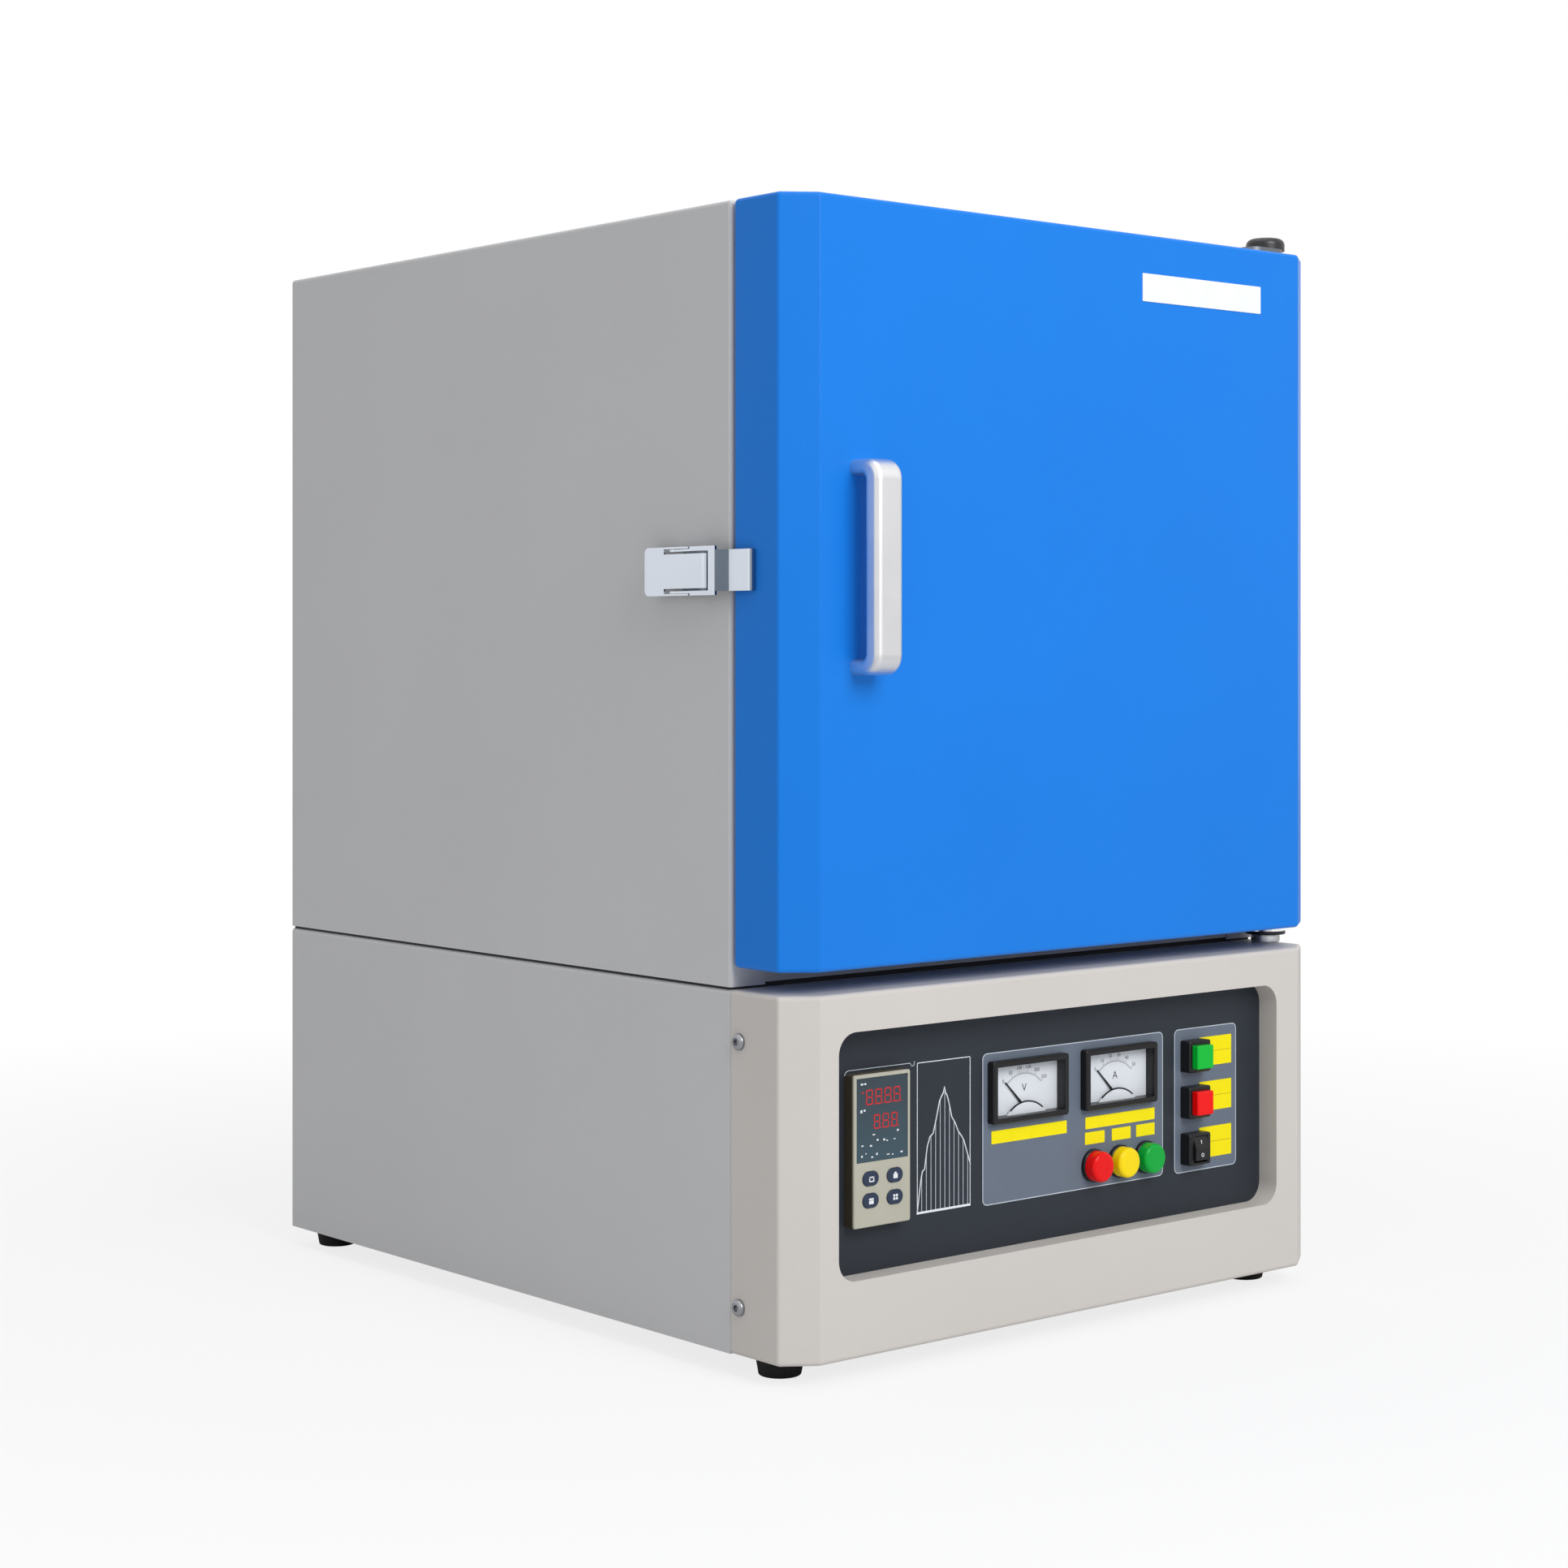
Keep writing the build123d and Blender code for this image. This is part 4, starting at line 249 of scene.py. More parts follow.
# %% [markdown]
# **Metals.** A rolled sheet has a faint grain along its length, and a blasted casting has an even
# fine tooth. Both are the same shader with other noise: stretched or round. The grain changes
# quickly across the axis that its name gives, and runs along the other two.

# %% Metals
ACROSS_X = (12, 1, 1)
ACROSS_Y = (1, 12, 1)
ACROSS_Z = (1, 1, 12)
EVEN = (1, 1, 1)


def rolled_metal(name, colour, rough, stretch):
    paint = Paint(name, Metallic=1.0)
    grain = paint.noise(scale=900, detail=2, stretch=stretch)
    smear = paint.noise(scale=30, detail=3)
    paint.vary(smear, colour, 0.92, 1.05)
    paint.roughen(grain * 0.6 + smear * 0.4, rough, spread=0.20)
    return paint.bump(grain, depth=0.00002)


def blasted_metal(name, colour, rough):
    paint = Paint(name, Metallic=1.0)
    tooth = paint.noise(scale=2600, detail=2)
    touch = paint.noise(scale=22, detail=3)
    paint.vary(touch, colour, 0.95, 1.03)
    paint.roughen(touch, rough, spread=0.10)
    return paint.bump(tooth, depth=0.00004)


HANDLE = blasted_metal("handle_satin_aluminium", ink(224, 224, 226), 0.38)
# The latch base is dull steel, set darker than bare steel so that it shows dark in the slots of the
# lever: its own grey, with painted shade.
LATCH_BASE = rolled_metal("latch_base_steel", ink(112, 120, 130), 0.36, ACROSS_X)
ZINC = rolled_metal("zinc_sheet", ink(196, 198, 202), 0.36, ACROSS_Z)
BRIGHT = rolled_metal("bright_screw_steel", ink(158, 160, 164), 0.30, EVEN)
BRASS = rolled_metal("turned_brass", ink(228, 186, 96), 0.28, EVEN)
STRAP = rolled_metal("strap_aluminium", ink(226, 228, 230), 0.34, ACROSS_Y)
STEEL_ARM = rolled_metal("hinge_steel", ink(120, 124, 130), 0.42, ACROSS_Y)
print("metals ready")

# %% [markdown]
# The latch is bright plated steel. Where its hook slants down over the gap beside the door, and at
# the far edge of the keeper, it is painted darker: painted shade. Both places are known by their
# distance from the front of the casing, so two masks on the Y coordinate pick them.

# %% Latch steel
SLANT_BACK = 0.0033
SLANT_FRONT = -0.0040
KEEPER_EDGE = -0.0238


def latch_metal(name, bright, dark):
    paint = rolled_metal(name, bright, 0.22, ACROSS_X)
    y = paint.axis("Y")
    # The slant and the keeper's far edge get a darker, blotchy tone: painted shade.
    slant = (y < CASING_FRONT + SLANT_BACK) * (y > CASING_FRONT + SLANT_FRONT)
    edge = y < CASING_FRONT + KEEPER_EDGE
    painted_shade = paint.mix(paint.noise(scale=60, detail=3), dark, tone(dark, 1.5))
    return paint.feed("Base Color", paint.mix(slant * 0.85 + edge * 0.6, bright, painted_shade))


LATCH = latch_metal("latch_plated_steel", bright=ink(211, 218, 228), dark=ink(62, 76, 90))
print("latch steel ready")

# %% [markdown]
# **Mouldings and rubber.** Instrument housings are smooth dark plastic, and the feet are matt
# rubber. The lamp lenses and button caps are translucent. Light that wanders through a thin cap
# is slow to render, so a clear coat and a very faint glow in the cap's own colour stand in for it.

# %% Mouldings and rubber
SMOOTH = 0.00001
CAP_GLOW = 0.06


def moulding(name, colour, gloss=0.34, grain=2200, depth=0.00003, **fixed):
    fixed.setdefault("Specular_IOR_Level", 2 * SHEEN)
    paint = Paint(name, **fixed)
    skin = paint.noise(scale=grain, detail=1)
    handling = paint.noise(scale=35, detail=3)
    paint.vary(handling, colour, 0.94, 1.06)
    paint.roughen(handling, gloss, spread=0.10)
    return paint.bump(skin, depth)


def glossy_cap(name, colour):
    paint = moulding(name, colour, 0.14, 500, SMOOTH, Specular_IOR_Level=SHEEN, Coat_Weight=0.1,
                     Coat_Roughness=0.05, Emission_Strength=CAP_GLOW)
    return paint.feed("Emission Color", colour)


BLACK = moulding("instrument_black", ink(20, 20, 22))
NYLON = moulding("matt_nylon_black", ink(26, 26, 28), 0.55)
RUBBER = moulding("foot_rubber", ink(24, 24, 25), 0.72, grain=1500, depth=0.00008)
CHAMPAGNE = moulding("controller_face_film", ink(182, 180, 164), 0.40, grain=3000, depth=SMOOTH)
KEY_NAVY = moulding("key_rubber", ink(40, 52, 74), 0.50)
CONTROLLER_SIDE = moulding("controller_case_plastic", ink(74, 69, 56), 0.45)
LENS_RED = glossy_cap("lens_red", ink(232, 8, 10))
LENS_YELLOW = glossy_cap("lens_yellow", ink(246, 216, 4))
LENS_GREEN = glossy_cap("lens_green", ink(4, 164, 58))
CAP_GREEN = glossy_cap("cap_green", ink(2, 184, 54))
CAP_RED = glossy_cap("cap_red", ink(238, 6, 6))
CONTACTOR = moulding("contactor_plastic", ink(214, 214, 208), 0.45)
print("mouldings ready")

# %% [markdown]
# **Printed panel.** The control panel is a steel plate with a dark slate print: flat, slightly
# glossy, with a very fine silk texture from the screen that it was printed through. The labels and
# the dials are printed as well, so one function serves them all.

# %% Panel and labels
def print_ink(name, colour, gloss=0.42):
    paint = Paint(name, Specular_IOR_Level=SHEEN)
    wear = paint.noise(scale=60, detail=4)
    weave = paint.noise(scale=3200, detail=0)
    paint.vary(wear, colour, 0.95, 1.05)
    paint.roughen(wear, gloss, spread=0.12)
    return paint.bump(weave, SMOOTH)


SLATE = print_ink("panel_slate_print", ink(47, 52, 59))
FIELD = print_ink("panel_field_print", ink(106, 116, 130))
LINE = print_ink("panel_line_print", ink(196, 204, 214))
WHITE_LINE = print_ink("panel_white_print", ink(232, 236, 240))
YELLOW = print_ink("yellow_label", ink(252, 234, 2), 0.34)
FAINT = print_ink("label_faint_line", ink(196, 176, 20), 0.40)
DIAL = print_ink("dial_white", ink(244, 248, 254), 0.30)
DIAL_INK = print_ink("dial_ink", ink(70, 66, 66), 0.45)
DIAL_BLACK = print_ink("dial_black", ink(24, 22, 24), 0.35)
PLATE_WHITE = print_ink("blank_plate_white", ink(238, 240, 242), 0.30)
print("print inks ready")

# %% [markdown]
# **Refractory.** The lining is ceramic: soft white fibre board, which is pressed from short fibres
# and looks felted, and a denser cast collar and plug at the mouth, with pores. A Voronoi pattern
# gives round pits, and a colour ramp cuts them off sharply. The heating rods are dark and glazed
# where they glow, and pale above the roof, where their ends stay cold.

# %% Ceramics
COLD_END = 0.012


def fibre_board(name, colour):
    paint = Paint(name)
    felt = paint.noise(scale=380, detail=6, stretch=(1, 1, 2.2), rough=0.65)
    patch = paint.noise(scale=14, detail=4)
    paint.vary(patch * 0.6 + felt * 0.4, colour, 0.88, 1.05)
    paint.roughen(felt, 0.90, spread=0.10)
    return paint.bump(felt, depth=0.0006)


def cast_ceramic(name, colour, pores=420):
    paint = Paint(name)
    pits = paint.node("ShaderNodeTexVoronoi", sockets={"Vector": paint.place(), "Scale": pores})
    holes = paint.node("ShaderNodeValToRGB", {"stops": ((0.05, 0.0), (0.22, 1.0))}, {0: pits})
    patch = paint.noise(scale=18, detail=4)
    paint.vary(patch * 0.7 + holes * 0.3, colour, 0.84, 1.04)
    paint.roughen(patch, 0.795, spread=0.15)
    return paint.bump(holes, depth=0.0003)


def heating_rod(name, ceiling):
    paint = Paint(name)
    cold = paint.axis("Z") > ceiling
    scale = paint.noise(scale=700, detail=4)
    glaze = paint.mix(scale, ink(52, 52, 58), ink(92, 90, 92))
    paint.feed("Base Color", paint.mix(cold, glaze, ink(176, 178, 182)))
    paint.feed("Metallic", cold * 0.8)
    paint.roughen(scale, 0.40, spread=0.20)
    return paint.bump(scale, depth=0.00005)


FIBRE = fibre_board("fibre_board", ink(238, 236, 230))
COLLAR = cast_ceramic("cast_collar", ink(232, 226, 210))
HEARTH = cast_ceramic("hearth_tile", ink(206, 192, 168), pores=260)
SHEATH = cast_ceramic("alumina_sheath", ink(228, 224, 212), pores=900)
ROD = heating_rod("heating_rod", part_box("chamber_walls")[1].z - COLD_END)
print("ceramics ready")

# %% [markdown]
# **Hinges.** The lower pin, its bright bush and its dark washer are one solid, as are the upper pin
# and its black cap. Heights pick the finish: a mask is 1 between two levels and 0 elsewhere.

# %% Hinge finish
WASHER_LOW = 0.0061
WASHER_HIGH = 0.0086
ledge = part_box("lower_shell")[1].z
cap_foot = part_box("upper_hinge_bracket")[1].z - 0.0001


def hinge_finish(name):
    paint = Paint(name)
    z = paint.axis("Z")
    washer = (z > ledge + WASHER_LOW) * (z < ledge + WASHER_HIGH)
    dark = washer + (z > cap_foot)
    grain = paint.noise(scale=1400, detail=2)
    steel = paint.mix(grain, ink(206, 208, 212), ink(236, 236, 238))
    paint.feed("Base Color", paint.mix(dark, steel, ink(22, 22, 26)))
    paint.feed("Metallic", 1 - dark)
    paint.feed("Roughness", dark * 0.18 + grain * 0.08 + 0.14)
    return paint.bump(grain, SMOOTH)


HINGE = hinge_finish("hinge_bush_and_cap")
print("washer at", round(ledge + WASHER_LOW, 4), " cap from", round(cap_foot, 4))

# %% [markdown]
# ** Glass and the rest.** The meter windows are clear, and the controller's display window is a
# tinted sheet, painted darker towards its upper edge: painted shade under the upper edge of the
# panel's recess. Real glass would need a deeper light path, so the clear window is nearly
# transparent by its alpha. The transformer is varnished iron with a taped coil, whose turns a wave
# pattern draws.

# %% Windows and electrics
def clear_window(name):
    paint = Paint(name, Roughness=0.04, IOR=1.46)
    haze = paint.noise(scale=12, detail=3)
    paint.feed("Base Color", paint.mix(haze, (0.04, 0.05, 0.06, 1), (0.10, 0.11, 0.12, 1)))
    return paint.feed("Alpha", haze * 0.03 + 0.03)


def tinted_window(name, top, bottom):
    paint = Paint(name, Roughness=0.12, Coat_Weight=0.3, Coat_Roughness=0.05)
    # The sheet turns darker towards its top: painted shade.
    height = paint.node("ShaderNodeMapRange", sockets={0: paint.axis("Z"), 1: bottom, 2: top})
    haze = paint.noise(scale=80, detail=3)
    share = height * 0.8 + haze * 0.2
    return paint.feed("Base Color", paint.mix(share, ink(36, 70, 84), ink(24, 42, 54)))


def wound_coil(name):
    paint = Paint(name)
    wire = paint.node("ShaderNodeTexWave", {"bands_direction": "Z"},
                      {"Vector": paint.place(), "Scale": 260, "Distortion": 0.4})
    paint.feed("Base Color", paint.mix(wire, ink(62, 44, 30), ink(128, 92, 58)))
    paint.roughen(wire, 0.50, spread=0.20)
    return paint.bump(wire, depth=0.0002)


GLASS = clear_window("meter_glass")
display_low, display_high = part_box("controller_window")
TEAL = tinted_window("display_teal", display_high.z, display_low.z)
COIL = wound_coil("varnished_coil")
print("windows ready")

# %% [markdown]
# The solids already have their shape, so each one only gets its finish. One table does it, and the
# print shows at once if a solid was forgotten.

# %% Dress the solids
FINISHES = {
    CASING: "lower_shell lower_rear_panel upper_shell upper_front_frame upper_rear_cover",
    BEZEL: "front_bezel", DOOR: "door_shell", SHADOW_PAINT: "upper_base_plate",
    ZINC: "base_pan door_back_plate", SLATE: "control_panel", BRIGHT: "case_screws",
    RUBBER: "feet", NYLON: "cable_gland fan_frame fan_rotor",
    FIBRE: "chamber_floor chamber_roof chamber_walls backing_boards door_insulation door_gasket",
    COLLAR: "mouth_collar door_plug", HEARTH: "hearth_plate", SHEATH: "thermocouple",
    ROD: "heating_elements", STRAP: "element_clamps power_regulator", COIL: "transformer",
    CONTACTOR: "contactor", STEEL_ARM: "upper_hinge_bracket hinge_blocks", HINGE: "hinge_pins",
    LATCH: "latch_lever latch_hook latch_keeper", LATCH_BASE: "latch_base",
    BRASS: "latch_link_pins", HANDLE: "door_handle",
    BLACK: "meter_cases lamp_bases switch_bases power_rocker",
    CONTROLLER_SIDE: "controller_case", CHAMPAGNE: "controller_front", TEAL: "controller_window",
    KEY_NAVY: "controller_key_1 controller_key_2 controller_key_3 controller_key_4",
    DIAL: "meter_dials", DIAL_BLACK: "voltmeter_needle ammeter_needle", GLASS: "meter_windows",
    LENS_RED: "lamp_lens_red", LENS_YELLOW: "lamp_lens_yellow", LENS_GREEN: "lamp_lens_green",
    CAP_GREEN: "green_button", CAP_RED: "red_button",
}
for paint, names in FINISHES.items():
    for name in names.split():
        nodes[name].data.materials.clear()
        nodes[name].data.materials.append(paint.material)
bare = [name for name, piece in nodes.items() if not piece.data.materials]
print("dressed:", sum(len(names.split()) for names in FINISHES.values()), " bare:", bare)

# %% [markdown]
# **Picking and editing.** An operator acts on all that is selected, and the solids are still
# selected after loading. So every step starts with `pick`, which leaves just one piece selected.
# In edit mode, `choose` selects faces or edges by a test on their place or direction.

# %% Picking and editing
def pick(piece=None):
    """Deselects everything, then selects the piece, if there is one, and makes it active."""
    bpy.ops.object.select_all(action="DESELECT")
    if piece:
        piece.select_set(True)
        bpy.context.view_layer.objects.active = piece


def edit(piece, mode="FACE"):
    """Opens the piece in edit mode."""
    pick(piece)
    bpy.ops.object.mode_set(mode="EDIT")
    bpy.ops.mesh.select_mode(type=mode)


def done():
    bpy.ops.object.mode_set(mode="OBJECT")


def choose(piece, kind, test):
    """Selects the faces or edges of the piece in edit mode for which the test is true."""
    mesh = bmesh.from_edit_mesh(piece.data)
    for group in (mesh.verts, mesh.edges, mesh.faces):
        for part in group:
            part.select = False
    for part in [part for part in getattr(mesh, kind) if test(part)]:
        part.select_set(True)
    bmesh.update_edit_mesh(piece.data)


print("picking ready")

# %% [markdown]
# **Plates and outlines.** Most details on the panel are thin plates with rounded corners. A cube is
# scaled to the size, and only its four edges along Y are bevelled, so the front stays flat.
# `frame_line` turns such a plate into an outline: it insets the front and the back face and bridges
# the two, which opens the middle.

# %% Plates and outlines
ALIGNED = 0.99


def along_y(edge):
    run = edge.verts[0].co - edge.verts[1].co
    return abs(run.normalized().y) > ALIGNED


def tile(name, x, z, front, back, corner=0.0, segments=5):
    """A plate between two x and two z values, with its corners rounded in front view."""
    pick()
    centre = ((x[0] + x[1]) / 2, (front + back) / 2, (z[0] + z[1]) / 2)
    bpy.ops.mesh.primitive_cube_add(size=1, location=centre)
    piece = bpy.context.object
    piece.name = name
    piece.scale = (x[1] - x[0], back - front, z[1] - z[0])
    bpy.ops.object.transform_apply(location=True, rotation=True, scale=True)
    if corner:
        edit(piece, "EDGE")
        choose(piece, "edges", along_y)
        bpy.ops.mesh.bevel(offset=corner, segments=segments)
        done()
    return piece


def frame_line(piece, width):
    """Opens the middle of a plate and leaves an outline of the given width."""
    edit(piece)
    choose(piece, "faces", lambda face: abs(face.normal.y) > ALIGNED)
    bpy.ops.mesh.inset(thickness=width, use_individual=True)
    bpy.ops.mesh.bridge_edge_loops()
    done()
    return piece


print("plates and outlines ready")

# %% [markdown]
# ** Settling.** A finished piece keeps its place in its mesh, with its object at the origin, as the
# solids do, so that a pattern on Object coordinates stays put when the piece moves. It then gets
# its finish and the body that it moves with.

# %% Settling a piece
def settle(piece, paint, body):
    pick(piece)
    bpy.ops.object.transform_apply(location=True, rotation=True, scale=True)
    piece.data.materials.clear()
    piece.data.materials.append(paint.material)
    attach(piece, body)
    return piece


print("settling ready")

# %% [markdown]
# **Printed fields.** The panel carries two lighter fields with fine outlines, round the meters and
# lamps and round the switches. Screen print has almost no height, so the fields stand a tenth of a
# millimetre proud. The dials lie deeper than the panel's face, so the field is open there: a
# boolean cuts each opening a millimetre smaller than the case that covers its edge.

# %% Fields and outlines
FIELD_PRINT = 0.0001
LINE_PRINT = 0.0002
FIELD_CORNER = 0.004
OUTLINE_WIDTH = 0.0006
NEEDLE_HUB = 0.003
METERS = {"voltmeter": ("V", 250), "ammeter": ("A", 50)}
OPENING_REACH = 0.0343
OPENING_HEIGHTS = (131.5, 170.5)
CUTTER_REACH = 0.002
FIELDS = {"meter_field": ((175.2, 348.6), (77.4, 177.0)),
          "switch_field": ((360.2, 424.7), (76.8, 177.0))}


def cut_opening(piece, kind):
    """Cuts the meter's opening through a field, with a box-shaped cutter."""
    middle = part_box(kind + "_needle")[1].x - NEEDLE_HUB
    cutter = tile("cutter", (middle - OPENING_REACH, middle + OPENING_REACH),
                  [up(mm) for mm in OPENING_HEIGHTS], PANEL - CUTTER_REACH, PANEL + CUTTER_REACH)
    pick(piece)
    bpy.ops.object.modifier_add(type="BOOLEAN")
    piece.modifiers[-1].object = cutter
    piece.modifiers[-1].solver = "EXACT"
    bpy.ops.object.modifier_apply(modifier=piece.modifiers[-1].name)
    bpy.data.objects.remove(cutter)


for name, corners in FIELDS.items():
    x, z = area(*corners)
    field = tile(name, x, z, PANEL - FIELD_PRINT, PANEL, FIELD_CORNER)
    if name == "meter_field":
        for kind in METERS:
            cut_opening(field, kind)
    settle(field, FIELD, "cabinet")
    outline = tile(name + "_outline", x, z, PANEL - LINE_PRINT, PANEL, FIELD_CORNER)
    settle(frame_line(outline, OUTLINE_WIDTH), LINE, "cabinet")
print("fields:", list(FIELDS))

# %% [markdown]
# **Lines and joins.** A thin line could be a row of small plates, but a curve with a round section
# bends smoothly and has a width of its own. It is made a mesh, because a finished piece keeps its
# place in its mesh. `merge` makes one piece of many.

# %% Lines and joins
def cord(name, points, thick, closed=False):
    """A round cord through points in space: a curve with a round section, made a mesh."""
    curve = bpy.data.curves.new(name, "CURVE")
    curve.dimensions = "3D"
    curve.bevel_depth = thick / 2
    curve.bevel_resolution = 1
    curve.use_fill_caps = True
    spline = curve.splines.new("POLY")
    spline.points.add(len(points) - 1)
    for point, place in zip(spline.points, points):
        point.co = (*place, 1)
    spline.use_cyclic_u = closed
    piece = bpy.data.objects.new(name, curve)
    bpy.context.scene.collection.objects.link(piece)
    pick(piece)
    bpy.ops.object.convert(target="MESH")
    return bpy.context.object


def drawn_line(name, points, thick, y):
    """A thin printed line through points of the panel."""
    return cord(name, [(x, y, z) for x, z in points], thick)


def merge(name, pieces):
    """Joins several pieces into one mesh."""
    pick(pieces[0])
    for piece in pieces:
        piece.select_set(True)
    bpy.ops.object.join()
    pieces[0].name = name
    return pieces[0]


print("lines and joins ready")

# %% [markdown]
# **Heating chart.** Beside the controller a small chart shows a heating run: a stepped rise to a
# peak and a stepped fall, hatched with upright bars. The steps are shares of the chart's width and
# height, so that the chart could be moved or stretched by its two corners alone.

# %% The heating run
CHART_X = (117.0, 164.3)
CHART_Z = (79.4, 176.6)
STEPS = ((0.0, 0.0), (0.07, 0.22), (0.10, 0.28), (0.14, 0.29), (0.19, 0.44), (0.24, 0.50),
         (0.30, 0.52), (0.36, 0.62), (0.42, 0.73), (0.46, 0.76), (0.49, 0.78), (0.51, 0.82),
         (0.53, 0.78), (0.56, 0.76), (0.60, 0.70), (0.65, 0.61), (0.71, 0.57), (0.77, 0.51),
         (0.84, 0.47), (0.88, 0.44), (0.93, 0.37), (1.0, 0.28))


def chart_point(step):
    x = CHART_X[0] + step[0] * (CHART_X[1] - CHART_X[0])
    z = CHART_Z[0] + step[1] * (CHART_Z[1] - CHART_Z[0])
    return across(x), up(z)


def curve_height(share):
    """Height of the curve at a share of the chart's width."""
    for (x0, z0), (x1, z1) in zip(STEPS, STEPS[1:]):
        if share <= x1:
            return z0 + (z1 - z0) * (share - x0) / (x1 - x0)


print("height of the curve half way:", round(curve_height(0.5), 2))

# %% [markdown]
# The curve is a thin line through the steps, on a heavier base line in a thin frame. The bars could
# be one bar copied, but each has its own height: it reaches up to the curve.

# %% Chart
CHART_CORNER = 0.0008
CHART_LINE = 0.0005
BASE_LINE = 0.0014
BASE_PRINT = 0.00025
CURVE_LINE = 0.0009
BARS = 11
BAR_REACH = 0.00022
BAR_FOOT = 0.01
chart_x, chart_z = area(CHART_X, CHART_Z)
chart_frame = tile("chart_frame", chart_x, chart_z, PANEL - LINE_PRINT, PANEL, CHART_CORNER, 2)
frame_line(chart_frame, CHART_LINE)
base_line = tile("chart_base", chart_x, (chart_z[0], chart_z[0] + BASE_LINE),
                 PANEL - BASE_PRINT, PANEL)
curve = drawn_line("chart_curve", [chart_point(step) for step in STEPS], CURVE_LINE, PANEL)
chart = merge("chart_frame_and_curve", [chart_frame, base_line, curve])
settle(chart, WHITE_LINE, "cabinet")
bars = []
for number in range(BARS):
    share = (number + 1) / (BARS + 0.6)
    x, foot = chart_point((share, BAR_FOOT))
    head = chart_point((share, curve_height(share)))[1]
    bars.append(tile("chart_bar", (x - BAR_REACH, x + BAR_REACH), (foot, head),
                     PANEL - LINE_PRINT, PANEL))
settle(merge("chart_bars", bars), LINE, "cabinet")
print("chart bars:", BARS)

# %% [markdown]
# A thin bracket line runs over the controller and ends in a small hook beside the chart.

# %% Bracket line
BRACKET = ((55.0, 174.0), (56.4, 176.2), (58.4, 176.9), (111.0, 176.9), (112.4, 174.9),
           (114.4, 175.3), (114.9, 178.0))
BRACKET_LINE = 0.0006
bracket = drawn_line("controller_bracket_line", [(across(x), up(z)) for x, z in BRACKET],
                     BRACKET_LINE, PANEL)
settle(bracket, LINE, "cabinet")
print("bracket line points:", len(BRACKET))

# %% [markdown]
# **Labels.** Bright yellow strips lie below the meters and above the lamps, and a larger one stands
# beside each switch, divided by a faint line. They are foil with cut edges, so they are plates that
# stand a little prouder than the print.

# %% Yellow labels
STRIPS = (((183.4, 253.6), (117.0, 125.5)), ((271.7, 340.0), (117.4, 125.4)),
          ((271.3, 290.3), (106.9, 115.1)), ((297.5, 316.0), (106.9, 115.1)),
          ((321.6, 340.0), (106.9, 115.1)))
TAG_X = (386.0, 419.5)
TAG_HEIGHTS = ((149.1, 169.4), (117.5, 138.2), (84.8, 106.3))
FOIL = 0.0003
DIVIDER_X = (390.0, 419.0)
DIVIDER_REACH = 0.2
DIVIDER_FRONT = 0.00034
DIVIDER_BACK = 0.00028

label_areas = [area(x, z) for x, z in STRIPS] + [area(TAG_X, z) for z in TAG_HEIGHTS]
labels = [tile("label", x, z, PANEL - FOIL, PANEL, FOIL, 2) for x, z in label_areas]
settle(merge("yellow_labels", labels), YELLOW, "cabinet")
dividers = []
for z in TAG_HEIGHTS:
    middle = sum(z) / 2
    x, z = area(DIVIDER_X, (middle - DIVIDER_REACH, middle + DIVIDER_REACH))
    dividers.append(tile("divider", x, z, PANEL - DIVIDER_FRONT, PANEL - DIVIDER_BACK))
settle(merge("label_dividers", dividers), FAINT, "cabinet")
print("labels:", len(labels), " dividers:", len(dividers))

# %% [markdown]
# **Lettering.** Numbers and letters are text objects with hardly any thickness, turned upright and
# made a mesh, since text can't keep its place in a mesh of its own.

# %% Lettering
LETTER_DEPTH = 0.00004


def lettering(name, words, size, x, z, y):
    """Numbers or a letter, centred on a point and facing the front."""
    pick()
    bpy.ops.object.text_add(location=(x, y, z), rotation=(pi / 2, 0, 0))
    piece = bpy.context.object
    piece.name = name
    piece.data.body = words
    piece.data.size = size
    piece.data.extrude = LETTER_DEPTH
    piece.data.align_x = "CENTER"
    piece.data.align_y = "CENTER"
    bpy.ops.object.convert(target="MESH")
    return bpy.context.object


print("lettering ready")

# %% [markdown]
# **Meter dials.** Each white dial has a thin scale arc with ticks and numbers round the needle's
# pivot, and a unit letter. All of it is placed by an angle from straight up and a distance from the
# pivot, which the needle's own box gives, so the scale fits the needle that moves over it.

# %% Meter dials
SWEEP = 46.0
DIVISIONS = 20
NUMBERED = 4
SCALE_RADIUS = 0.0222
ARC_LINE = 0.0003
TICK_LINE = 0.00025
LONG_TICK = 0.0022
SHORT_TICK = 0.0011
NUMBER_OUT = 0.0042
NUMBER_SIZE = 0.0034
UNIT_PLACE = (0.0005, 0.0125)
UNIT_SIZE = 0.0074
DIAL_STEP = 0.0005


def dial_mark(pivot, radius, turn):
    """A point on a circle round the pivot, turned from straight up towards the right."""
    return pivot[0] + radius * sin(radians(turn)), pivot[1] + radius * cos(radians(turn))


